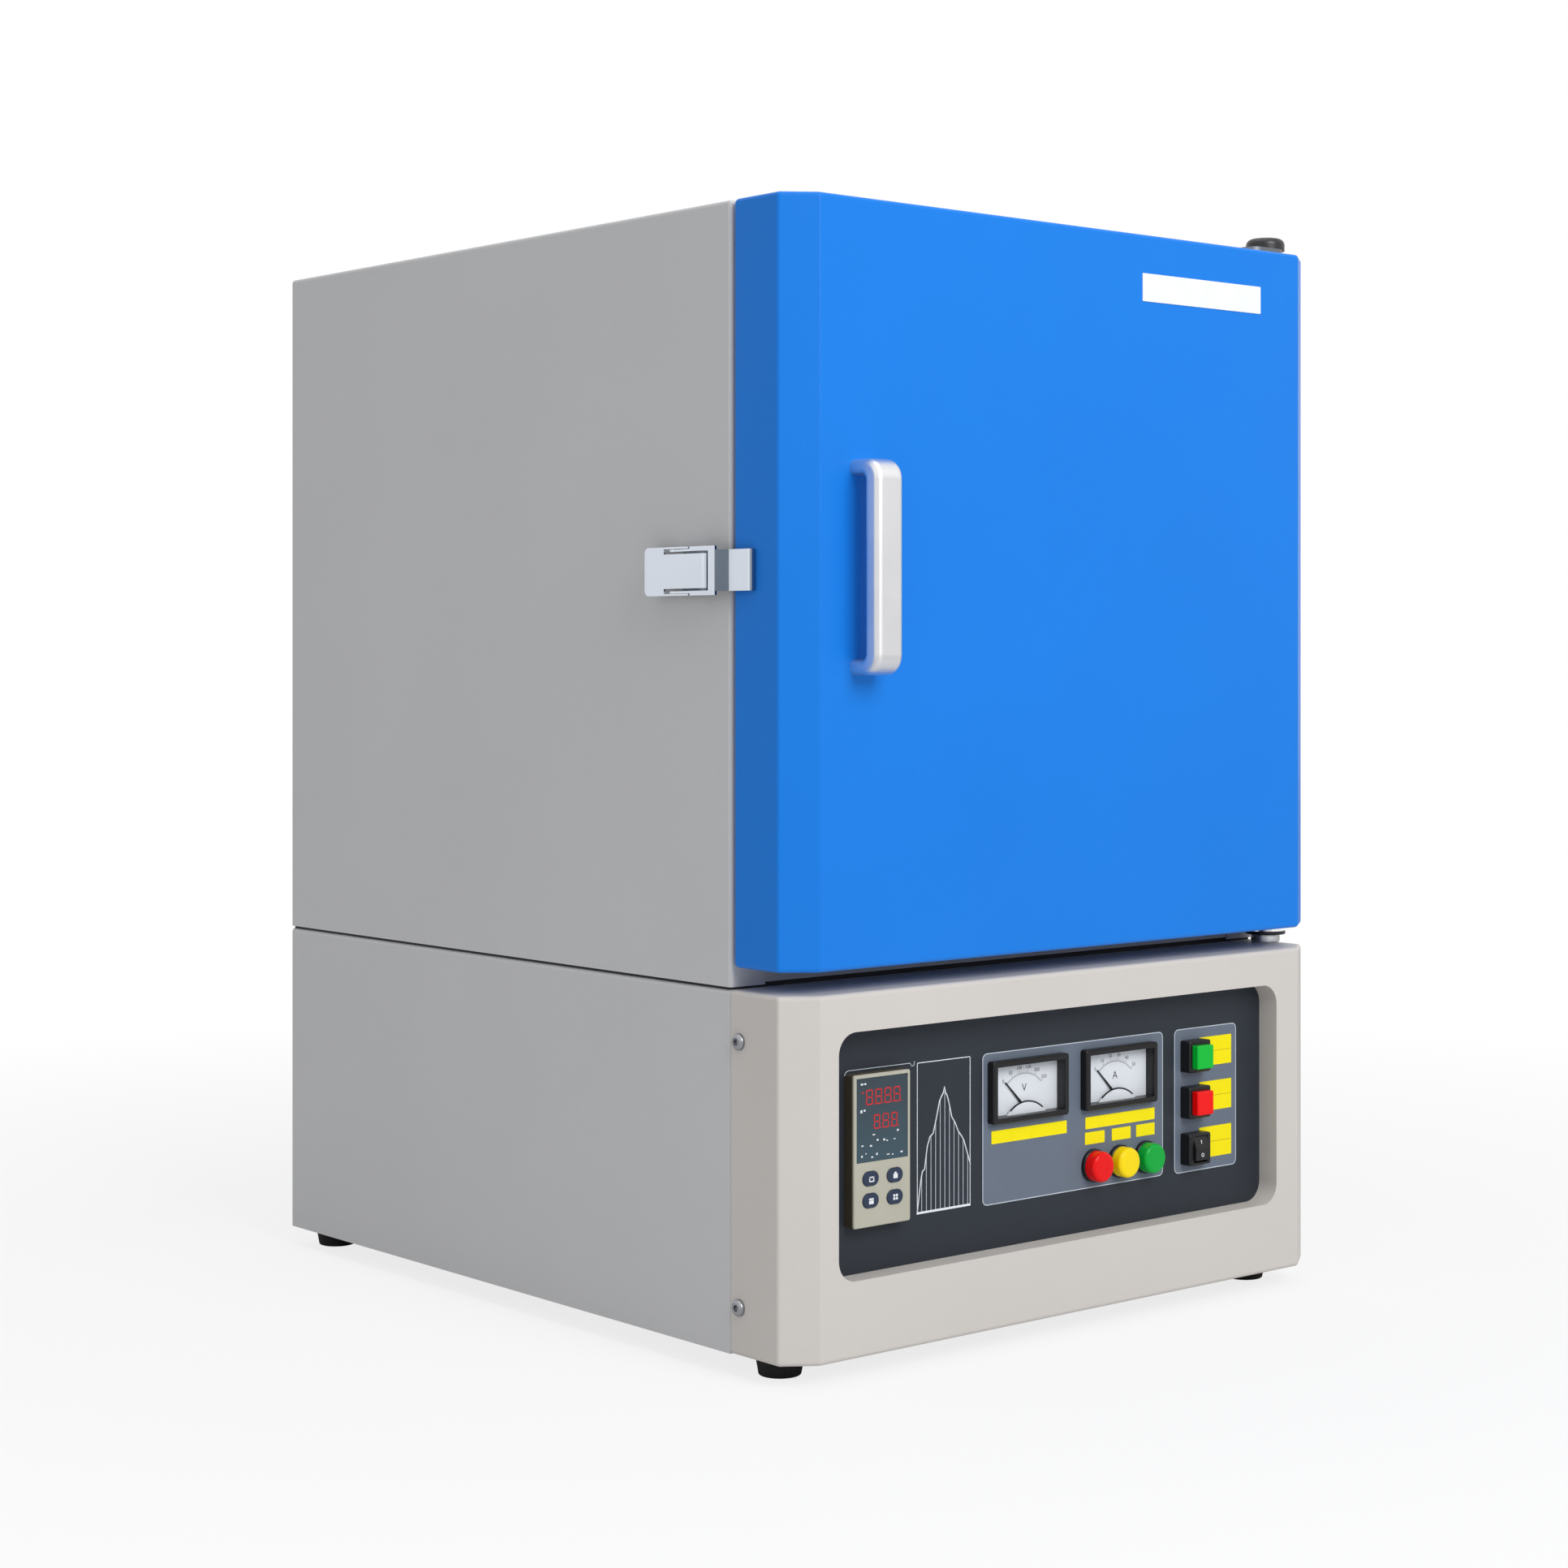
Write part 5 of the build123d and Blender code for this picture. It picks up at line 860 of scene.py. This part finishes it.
def meter_dial(kind, unit, top_value):
    low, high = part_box(kind + "_needle")
    face = high.y + DIAL_STEP
    pivot = (high.x - NEEDLE_HUB, low.z + NEEDLE_HUB)
    turns = [-SWEEP + 2 * SWEEP * step / DIVISIONS for step in range(DIVISIONS + 1)]
    arc = [dial_mark(pivot, SCALE_RADIUS, turn) for turn in turns]
    marks = [drawn_line("scale", arc, ARC_LINE, face)]
    for step, turn in enumerate(turns):
        numbered = step % NUMBERED == 0
        reach = LONG_TICK if numbered else SHORT_TICK
        ends = [dial_mark(pivot, SCALE_RADIUS, turn), dial_mark(pivot, SCALE_RADIUS + reach, turn)]
        marks.append(drawn_line("tick", ends, TICK_LINE, face))
        if numbered:
            x, z = dial_mark(pivot, SCALE_RADIUS + NUMBER_OUT, turn)
            value = str(top_value * step // DIVISIONS)
            marks.append(lettering("number", value, NUMBER_SIZE, x, z, face))
    x, z = pivot[0] + UNIT_PLACE[0], pivot[1] + UNIT_PLACE[1]
    marks.append(lettering("unit", unit, UNIT_SIZE, x, z, face))
    settle(merge(kind + "_scale", marks), DIAL_INK, "cabinet")
    return pivot, face


pivots = {kind: meter_dial(kind, *scale) for kind, scale in METERS.items()}
print("dials:", {kind: [round(v, 4) for v in pivot] for kind, (pivot, face) in pivots.items()})

# %% [markdown]
# A low cover hides the movement: a disc of large radius whose upper cap shows above the lower
# frame. It is a cylinder cut by a level plane, so bisect leaves just that cap, and a black line
# follows its edge.

# %% Movement covers
COVER_RADIUS = 0.024
COVER_REACH = 0.0150
COVER_CREST = 0.0040
COVER_FOOT = 0.0041
COVER_THICK = 0.0005
COVER_STEP = 0.0024
RIM_LINE = 0.0011
RIM_STEP = 0.0026
RIM_STEPS = 12

for kind, (pivot, face) in pivots.items():
    centre = pivot[1] + COVER_CREST - COVER_RADIUS
    pick()
    bpy.ops.mesh.primitive_cylinder_add(
        vertices=160, radius=COVER_RADIUS, depth=COVER_THICK,
        location=(pivot[0], face - COVER_STEP, centre), rotation=(pi / 2, 0, 0))
    cover = bpy.context.object
    cover.name = kind + "_cover"
    bpy.ops.object.transform_apply(location=True, rotation=True, scale=True)
    edit(cover)
    bpy.ops.mesh.select_all(action="SELECT")
    bpy.ops.mesh.bisect(plane_co=(0, 0, pivot[1] - COVER_FOOT), plane_no=(0, 0, 1),
                        clear_inner=True, use_fill=True)
    done()
    half = degrees(asin(COVER_REACH / COVER_RADIUS))
    rim = [dial_mark((pivot[0], centre), COVER_RADIUS, half * step / RIM_STEPS)
           for step in range(-RIM_STEPS, RIM_STEPS + 1)]
    rim = drawn_line(kind + "_cover_rim", rim, RIM_LINE, face - RIM_STEP)
    settle(cover, DIAL, "cabinet")
    settle(rim, DIAL_BLACK, "cabinet")
print("movement covers:", len(pivots))

# %% [markdown]
# **Controller display.** The two read-outs are seven-segment digits. One segment is a small
# six-sided bar: a plate whose corners are cut straight. Seven of them make a digit.

# %% One digit
SEGMENT = 0.0009
SEGMENT_GAP = SEGMENT * 0.25
SEGMENT_CUT = 0.45
SEGMENT_DEPTH = 0.00015
DISPLAY_FACE = display_low.y


def segment(x, z, wide, tall):
    """One display segment centred on a point."""
    return tile("segment", (x - wide / 2, x + wide / 2), (z - tall / 2, z + tall / 2),
                DISPLAY_FACE - SEGMENT_DEPTH, DISPLAY_FACE, min(wide, tall) * SEGMENT_CUT, 1)


def digit(x, z, wide, tall):
    """A seven-segment figure eight."""
    flat, stem = wide - SEGMENT - SEGMENT_GAP, tall / 2 - SEGMENT / 2 - SEGMENT_GAP
    parts = [segment(x, z + side * (tall - SEGMENT) / 2, flat, SEGMENT) for side in (-1, 0, 1)]
    for side in (-1, 1):
        for level in (-1, 1):
            parts.append(segment(x + side * (wide - SEGMENT) / 2, z + level * tall / 4,
                                 SEGMENT, stem))
    return merge("digit", parts)


print("display face", round(DISPLAY_FACE, 4))

# %% [markdown]
# A digit is modelled once and copied along its row, each copy with its own mesh. The segments of
# the real display are lit, so their red is partly a glow of their own, and a little uneven.

# %% Rows of digits
UPPER_ROW = (68.2, 160.4)
LOWER_ROW = (74.6, 144.6)
MINUS = (62.6, 163.6)
MINUS_WIDTH = 0.0022
POINT_PLACE = 0.68
DIGIT_PAINT = Paint("digit_red", Roughness=0.4, Emission_Strength=0.35)
glow = DIGIT_PAINT.noise(scale=300, detail=1)
DIGIT_PAINT.feed("Base Color", DIGIT_PAINT.mix(glow, ink(150, 16, 24), ink(196, 30, 36)))
DIGIT_PAINT.feed("Emission Color", DIGIT_PAINT.mix(glow, ink(120, 6, 14), ink(170, 14, 20)))


def copy_across(piece, distance):
    """A copy with its own mesh, moved to the right."""
    pick(piece)
    bpy.ops.object.duplicate(linked=False)
    twin = bpy.context.object
    bpy.ops.transform.translate(value=(distance, 0, 0))
    bpy.ops.object.transform_apply(location=True, rotation=True, scale=True)
    return twin


def row_of_digits(place, wide, tall, pitch, count):
    """Digits in a row from the first one's place, and a decimal point at the foot of each."""
    x, z = across(place[0]), up(place[1])
    first = digit(x, z, wide, tall)
    row = [first] + [copy_across(first, pitch * number) for number in range(1, count)]
    for number in range(count):
        row.append(segment(x + pitch * number + wide * POINT_PLACE, z - tall / 2 + SEGMENT / 2,
                           SEGMENT, SEGMENT))
    return row


upper_row = row_of_digits(UPPER_ROW, wide=0.0058, tall=0.0098, pitch=0.0078, count=4)
minus = segment(across(MINUS[0]), up(MINUS[1]), MINUS_WIDTH, SEGMENT)
lower_row = row_of_digits(LOWER_ROW, wide=0.0054, tall=0.0092, pitch=0.0074, count=3)
digits = merge("display_digits", upper_row + [minus] + lower_row)
settle(digits, DIGIT_PAINT, "cabinet")
print("faces of the digits:", len(digits.data.polygons))

# %% [markdown]
# Small pale marks fill the rest of the window: two tags at the left and rows of indicator dashes.
# Each is a plate, given by its middle, its width and its height on the drawing.

# %% Display marks
MARKS = ((62.0, 169.0, 2.0, 1.1), (64.8, 169.0, 1.6, 1.1), (61.5, 152.0, 1.6, 1.8),
         (64.2, 152.4, 1.4, 1.3), (72.0, 136.6, 2.0, 0.7), (75.2, 133.0, 1.4, 1.2),
         (80.8, 132.6, 1.6, 1.2), (92.4, 137.4, 1.4, 1.2), (62.4, 130.4, 1.7, 0.8),
         (69.6, 129.8, 1.8, 1.0), (83.4, 131.8, 1.2, 0.8), (89.6, 132.2, 1.6, 0.6),
         (62.0, 123.8, 1.3, 1.2), (65.4, 125.2, 0.9, 0.7), (70.6, 122.6, 1.7, 0.9),
         (74.6, 124.2, 1.2, 1.4), (84.2, 123.0, 2.4, 0.6), (88.0, 122.6, 1.0, 0.8),
         (95.6, 123.4, 1.8, 1.0))
MARK_DEPTH = 0.0001


def display_mark(x, z, wide, tall):
    x, z = area((x - wide / 2, x + wide / 2), (z - tall / 2, z + tall / 2))
    return tile("mark", x, z, DISPLAY_FACE - MARK_DEPTH, DISPLAY_FACE)


marks = merge("display_marks", [display_mark(*mark) for mark in MARKS])
settle(marks, WHITE_LINE, "cabinet")
print("display marks:", len(MARKS))

# %% [markdown]
# **Key symbols.** Each rubber key carries a white symbol that rides with the key when it is
# pressed: an open loop, a stepped arrow head, two bars and a grid of four, all built from a few
# small plates. A plate is given by its middle, width, height and corner, in millimetres from the
# middle of the key.

# %% Key symbols
KEY_SYMBOLS = (
    ((0.3, 0.9, 4.2, 0.8, 0.1), (-1.4, -0.5, 0.8, 3.0, 0.1), (2.0, -0.5, 0.8, 3.0, 0.1),
     (0.3, -1.7, 2.6, 0.7, 0.1)),
    ((0.0, -0.5, 3.6, 3.0, 0.2), (0.0, 1.5, 1.6, 1.2, 0.2)),
    ((0.0, 1.0, 3.8, 1.1, 0.1), (0.0, -1.0, 3.8, 2.2, 0.1)),
    ((-1.1, 1.0, 1.7, 1.5, 0.1), (1.1, 1.0, 1.7, 1.5, 0.1), (-1.1, -1.0, 1.7, 1.5, 0.1),
     (1.1, -1.0, 1.7, 1.5, 0.1)),
)
SYMBOL_PROUD = 0.00012
SYMBOL_SUNK = 0.0001


def key_symbol(key, shapes):
    low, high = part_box(key)
    x, z = (low.x + high.x) / 2, (low.z + high.z) / 2
    parts = [tile("symbol", (x + (dx - wide / 2) / 1000, x + (dx + wide / 2) / 1000),
                  (z + (dz - tall / 2) / 1000, z + (dz + tall / 2) / 1000),
                  low.y - SYMBOL_PROUD, low.y + SYMBOL_SUNK, corner / 1000, 2)
             for dx, dz, wide, tall, corner in shapes]
    symbol = merge(key.replace("controller_key", "key_symbol"), parts)
    return settle(symbol, WHITE_LINE, key)


for number, shapes in enumerate(KEY_SYMBOLS, 1):
    print(key_symbol("controller_key_" + str(number), shapes).name)

# %% [markdown]
# **Rocker marks.** The rocker has a bar at its upper end and a ring at its lower end. The rocker is
# tilted at rest, so the marks are made upright and then turned by the same angle round its axle,
# and they ride on it.

# %% Rocker marks
ROCKER_TILT = radians(-8)
ROCKER_FACE = 0.0049
ROCKER_SUNK = 0.0012
MARK_NEAR = 0.0032
MARK_FAR = 0.0058
BAR_HALF = 0.0003
RING_HALF = 0.0013
RING_CORNER = 0.00125
RING_LINE = 0.0004
rocker_low, rocker_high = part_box("power_rocker")
rocker_x = (rocker_low.x + rocker_high.x) / 2
axle = next(joint for joint in frame["joints"] if joint["name"] == "power_rocker_hinge")["pos_m"]
mark_front = axle[1] - ROCKER_FACE - MARK_DEPTH
mark_back = axle[1] - ROCKER_FACE + ROCKER_SUNK


def on_rocker(piece):
    """Turns a piece about the rocker's axle by the tilt it has at rest."""
    pick(piece)
    bpy.ops.transform.rotate(value=-ROCKER_TILT, orient_axis="X", center_override=axle)
    return piece


bar_mark = tile("rocker_bar", (rocker_x - BAR_HALF, rocker_x + BAR_HALF),
                (axle[2] + MARK_NEAR, axle[2] + MARK_FAR), mark_front, mark_back)
ring_mark = tile("rocker_ring", (rocker_x - RING_HALF, rocker_x + RING_HALF),
                 (axle[2] - MARK_FAR, axle[2] - MARK_NEAR), mark_front, mark_back, RING_CORNER, 8)
frame_line(ring_mark, RING_LINE)
rocker_marks = merge("rocker_marks", [on_rocker(bar_mark), on_rocker(ring_mark)])
settle(rocker_marks, WHITE_LINE, "power_rocker")
print("rocker marks tilted by", round(degrees(ROCKER_TILT)), "degrees")

# %% [markdown]
# **Door plate.** A white plate sits near the door's upper right corner. It is a thin moulding with
# rounded corners, and its front edge is eased with a small bevel so that it catches the light.

# %% Door plate
PLATE_X = (310.8, 432.2)
PLATE_Z = (677.9, 697.0)
PLATE_THICK = 0.0006
PLATE_EASE = 0.0002
door_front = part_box("door_shell")[0].y
plate = tile("blank_door_plate", *area(PLATE_X, PLATE_Z), door_front - PLATE_THICK, door_front,
             PLATE_THICK, 3)
edit(plate)
choose(plate, "faces", lambda face: face.normal.y < -ALIGNED)
bpy.ops.mesh.bevel(offset=PLATE_EASE, segments=2)
done()
settle(plate, PLATE_WHITE, "door")
print("plate width:", round(plate.dimensions.x, 4))

# %% [markdown]
# **Door rope.** The seal round the plug is a flat braid of ceramic yarn. Noise on a plain band
# would look like felt, so the strands are real: four wind one way and four the other round a square
# loop with rounded corners, and each rises and dips where it crosses the others. Whole turns let
# the closed curves meet, and two plain cords fill the middle. The braid takes the plain band's
# place.

# %% The rope's loop
def loop_place(share, half, corner):
    """A point of a rounded square loop and the way out of it there, by the share of its length."""
    straight = 2 * (half - corner)
    side, along = divmod(share * 4, 1.0)
    along *= straight + corner * pi / 2
    lean = max(0.0, along - straight) / corner
    x = min(along, straight) - straight / 2 + corner * sin(lean)
    z = straight / 2 + corner * cos(lean)
    turn = side * pi / 2
    place = (x * cos(turn) + z * sin(turn), z * cos(turn) - x * sin(turn))
    return place, (sin(lean + turn), cos(lean + turn))


quarter = loop_place(0.25, half=0.1, corner=0.01)[0]
print("a quarter of the way round:", [round(v, 3) for v in quarter])

# %% Door rope
ROPE_TURNS = 44
ROPE_STEPS = 16 * ROPE_TURNS
ROPE_WIDTH = 0.012
STRAND = 0.0024
CORE = 0.0038
CORE_SPREAD = 0.5
WEAVE = 0.00025
rope_low, rope_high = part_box("door_gasket")
rope_middle = (rope_low + rope_high) / 2
rope_half = (rope_high.x - rope_low.x - ROPE_WIDTH) / 2
flat_reach = ROPE_WIDTH / 2 - STRAND / 2 - WEAVE
deep_reach = (rope_high.y - rope_low.y) / 2 - STRAND / 2 - WEAVE


def rope_route(phase, hand):
    """Points of one strand; hand is 1 or -1 for the way that it winds, and 0 for a core."""
    route = []
    for step in range(ROPE_STEPS):
        share = step / ROPE_STEPS
        (x, z), (out_x, out_z) = loop_place(share, rope_half, ROPE_WIDTH)
        angle = 2 * pi * (hand * ROPE_TURNS * share + phase)
        rise = 1 + hand * WEAVE / deep_reach * cos(8 * pi * ROPE_TURNS * share)
        out = flat_reach * cos(angle) * (rise if hand else CORE_SPREAD)
        deep = deep_reach * sin(angle) * rise
        route.append((rope_middle.x + x + out_x * out, rope_middle.y + deep,
                      rope_middle.z + z + out_z * out))
    return route


strands = [cord("strand", rope_route(phase / 4, hand), STRAND, closed=True)
           for hand in (-1, 1) for phase in range(4)]
strands += [cord("core", rope_route(phase, 0), CORE, closed=True) for phase in (0, 0.5)]
YARN = fibre_board("ceramic_yarn", ink(236, 232, 222))
rope = settle(merge("door_rope", strands), YARN, "door")
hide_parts("door_gasket")
print("rope strands:", len(strands), " points each:", ROPE_STEPS)

# %% [markdown]
# **Floor.** The furnace stands on a pale floor in a white room. A plain matt floor would come out
# grey, so to the camera most of it is a plain white glow, and the rest a matt surface that keeps a
# soft shadow near the furnace and fades out further off. Every other ray meets only the matt floor.

# %% Floor finish
SHADOW_SHARE = 0.2
FADE_START = 0.55
FADE_END = 1.5
floor_paint = Paint("studio_floor")
tree = floor_paint.tree
tree.nodes.remove(floor_paint.shader)
distance = floor_paint.node("ShaderNodeVectorMath", {"operation": "LENGTH"},
                            {0: floor_paint.place()}, out="Value")
fade = floor_paint.node("ShaderNodeMapRange", sockets={0: distance, 1: FADE_START, 2: FADE_END})
seen = floor_paint.node("ShaderNodeLightPath", out="Is Camera Ray")
diffuse = floor_paint.node("ShaderNodeBsdfDiffuse", sockets={"Color": (0.82, 0.82, 0.82, 1)})
white = floor_paint.node("ShaderNodeEmission", sockets={"Color": (1, 1, 1, 1), "Strength": 1.0})
share = seen * (fade * SHADOW_SHARE + (1 - SHADOW_SHARE))
mixed = floor_paint.node("ShaderNodeMixShader", sockets={0: share, 1: diffuse, 2: white})
tree.links.new(mixed.socket, tree.nodes["Material Output"].inputs["Surface"])
print("floor finish ready")

# %% [markdown]
# The floor is one large disc just under the feet. It belongs to the stage and not to the furnace.

# %% Floor
FLOOR_RADIUS = 9.0
FLOOR_DROP = 0.0002
pick()
bpy.ops.mesh.primitive_circle_add(vertices=96, radius=FLOOR_RADIUS, fill_type="NGON",
                                  location=(0, 0, -FLOOR_DROP))
floor = bpy.context.object
floor.name = "studio_floor"
floor.data.materials.append(floor_paint.material)
bpy.ops.object.transform_apply(location=True, rotation=True, scale=True)
print("floor radius:", FLOOR_RADIUS)

# %% [markdown]
# **Room.** The room is plain white to the camera and in reflections, which keeps the metals
# bright. As a source of light it is a soft grey, because a fully white room would flatten every
# form. The light path node tells the two apart.

# %% Room
ROOM_GREY = (0.42, 0.425, 0.43, 1)
world = bpy.data.worlds.new("studio")
bpy.context.scene.world = world
world.use_nodes = True
air = world.node_tree
rays = air.nodes.new("ShaderNodeLightPath")
seen_white = air.nodes.new("ShaderNodeMath")
seen_white.operation = "MAXIMUM"
room_mix = air.nodes.new("ShaderNodeMix")
room_mix.data_type = "RGBA"
room_mix.inputs[6].default_value = ROOM_GREY
room_mix.inputs[7].default_value = (1, 1, 1, 1)
air.links.new(rays.outputs["Is Camera Ray"], seen_white.inputs[0])
air.links.new(rays.outputs["Is Glossy Ray"], seen_white.inputs[1])
air.links.new(seen_white.outputs[0], room_mix.inputs[0])
air.links.new(room_mix.outputs[2], air.nodes["Background"].inputs["Color"])
print("room grey:", ROOM_GREY[:3])

# %% [markdown]
# **Light.** The photograph has one broad soft source high in front of the door, which leaves the
# casing's left side about half as bright as the front. Three square lamps do it: a strong one in
# front, a weak one at the left and one above. Large lamps give soft shadows, as a studio's do.

# %% Lights
LAMPS = {
    "key": ((-0.25, -2.5, 1.9), (0, 0, 0.35), 1.6, 48),
    "fill_left": ((-2.4, -0.2, 1.3), (0, 0, 0.35), 1.6, 2.5),
    "top": ((0, 0, 2.6), (0, 0, 0), 2.0, 14),
}
for name, (place, target, side, power) in LAMPS.items():
    lamp = bpy.data.lights.new(name, "AREA")
    lamp.shape = "RECTANGLE"
    lamp.size = lamp.size_y = side
    lamp.energy = power
    holder = bpy.data.objects.new(name, lamp)
    bpy.context.scene.collection.objects.link(holder)
    holder.location = place
    aim = Vector(target) - Vector(place)
    holder.rotation_euler = aim.to_track_quat("-Z", "Y").to_euler()
print("lights:", [lamp.name for lamp in bpy.data.lights])

# %% [markdown]
# **Camera.** It stands level, about 1.8 m from the near upright edge of the casing, and is turned
# 40 degrees to the right. A level camera keeps upright edges upright; the downward shift of the
# lens frames the furnace, as an architect's camera does.

# %% Camera
FOCAL_LENGTH = 67.09
FRAME_PIXELS = 1932
SHIFT_PIXELS = -170.4
CAMERA_ACROSS = -1156.6
CAMERA_UP = 443.8
CAMERA_BACK = 1.4195
CAMERA_TURN = -40.215
lens = bpy.data.cameras.new("camera")
lens.sensor_width = 36
lens.lens = FOCAL_LENGTH
lens.shift_y = SHIFT_PIXELS / FRAME_PIXELS
camera = bpy.data.objects.new("camera", lens)
bpy.context.scene.collection.objects.link(camera)
camera.location = (across(CAMERA_ACROSS), CASING_FRONT - CAMERA_BACK, up(CAMERA_UP))
camera.rotation_euler = (radians(90), 0, radians(CAMERA_TURN))
bpy.context.scene.camera = camera
bpy.context.scene.view_settings.view_transform = "Standard"
print("camera at", [round(v, 3) for v in camera.location])

# %% [markdown]

# %% Finish
bpy.context.view_layer.update()
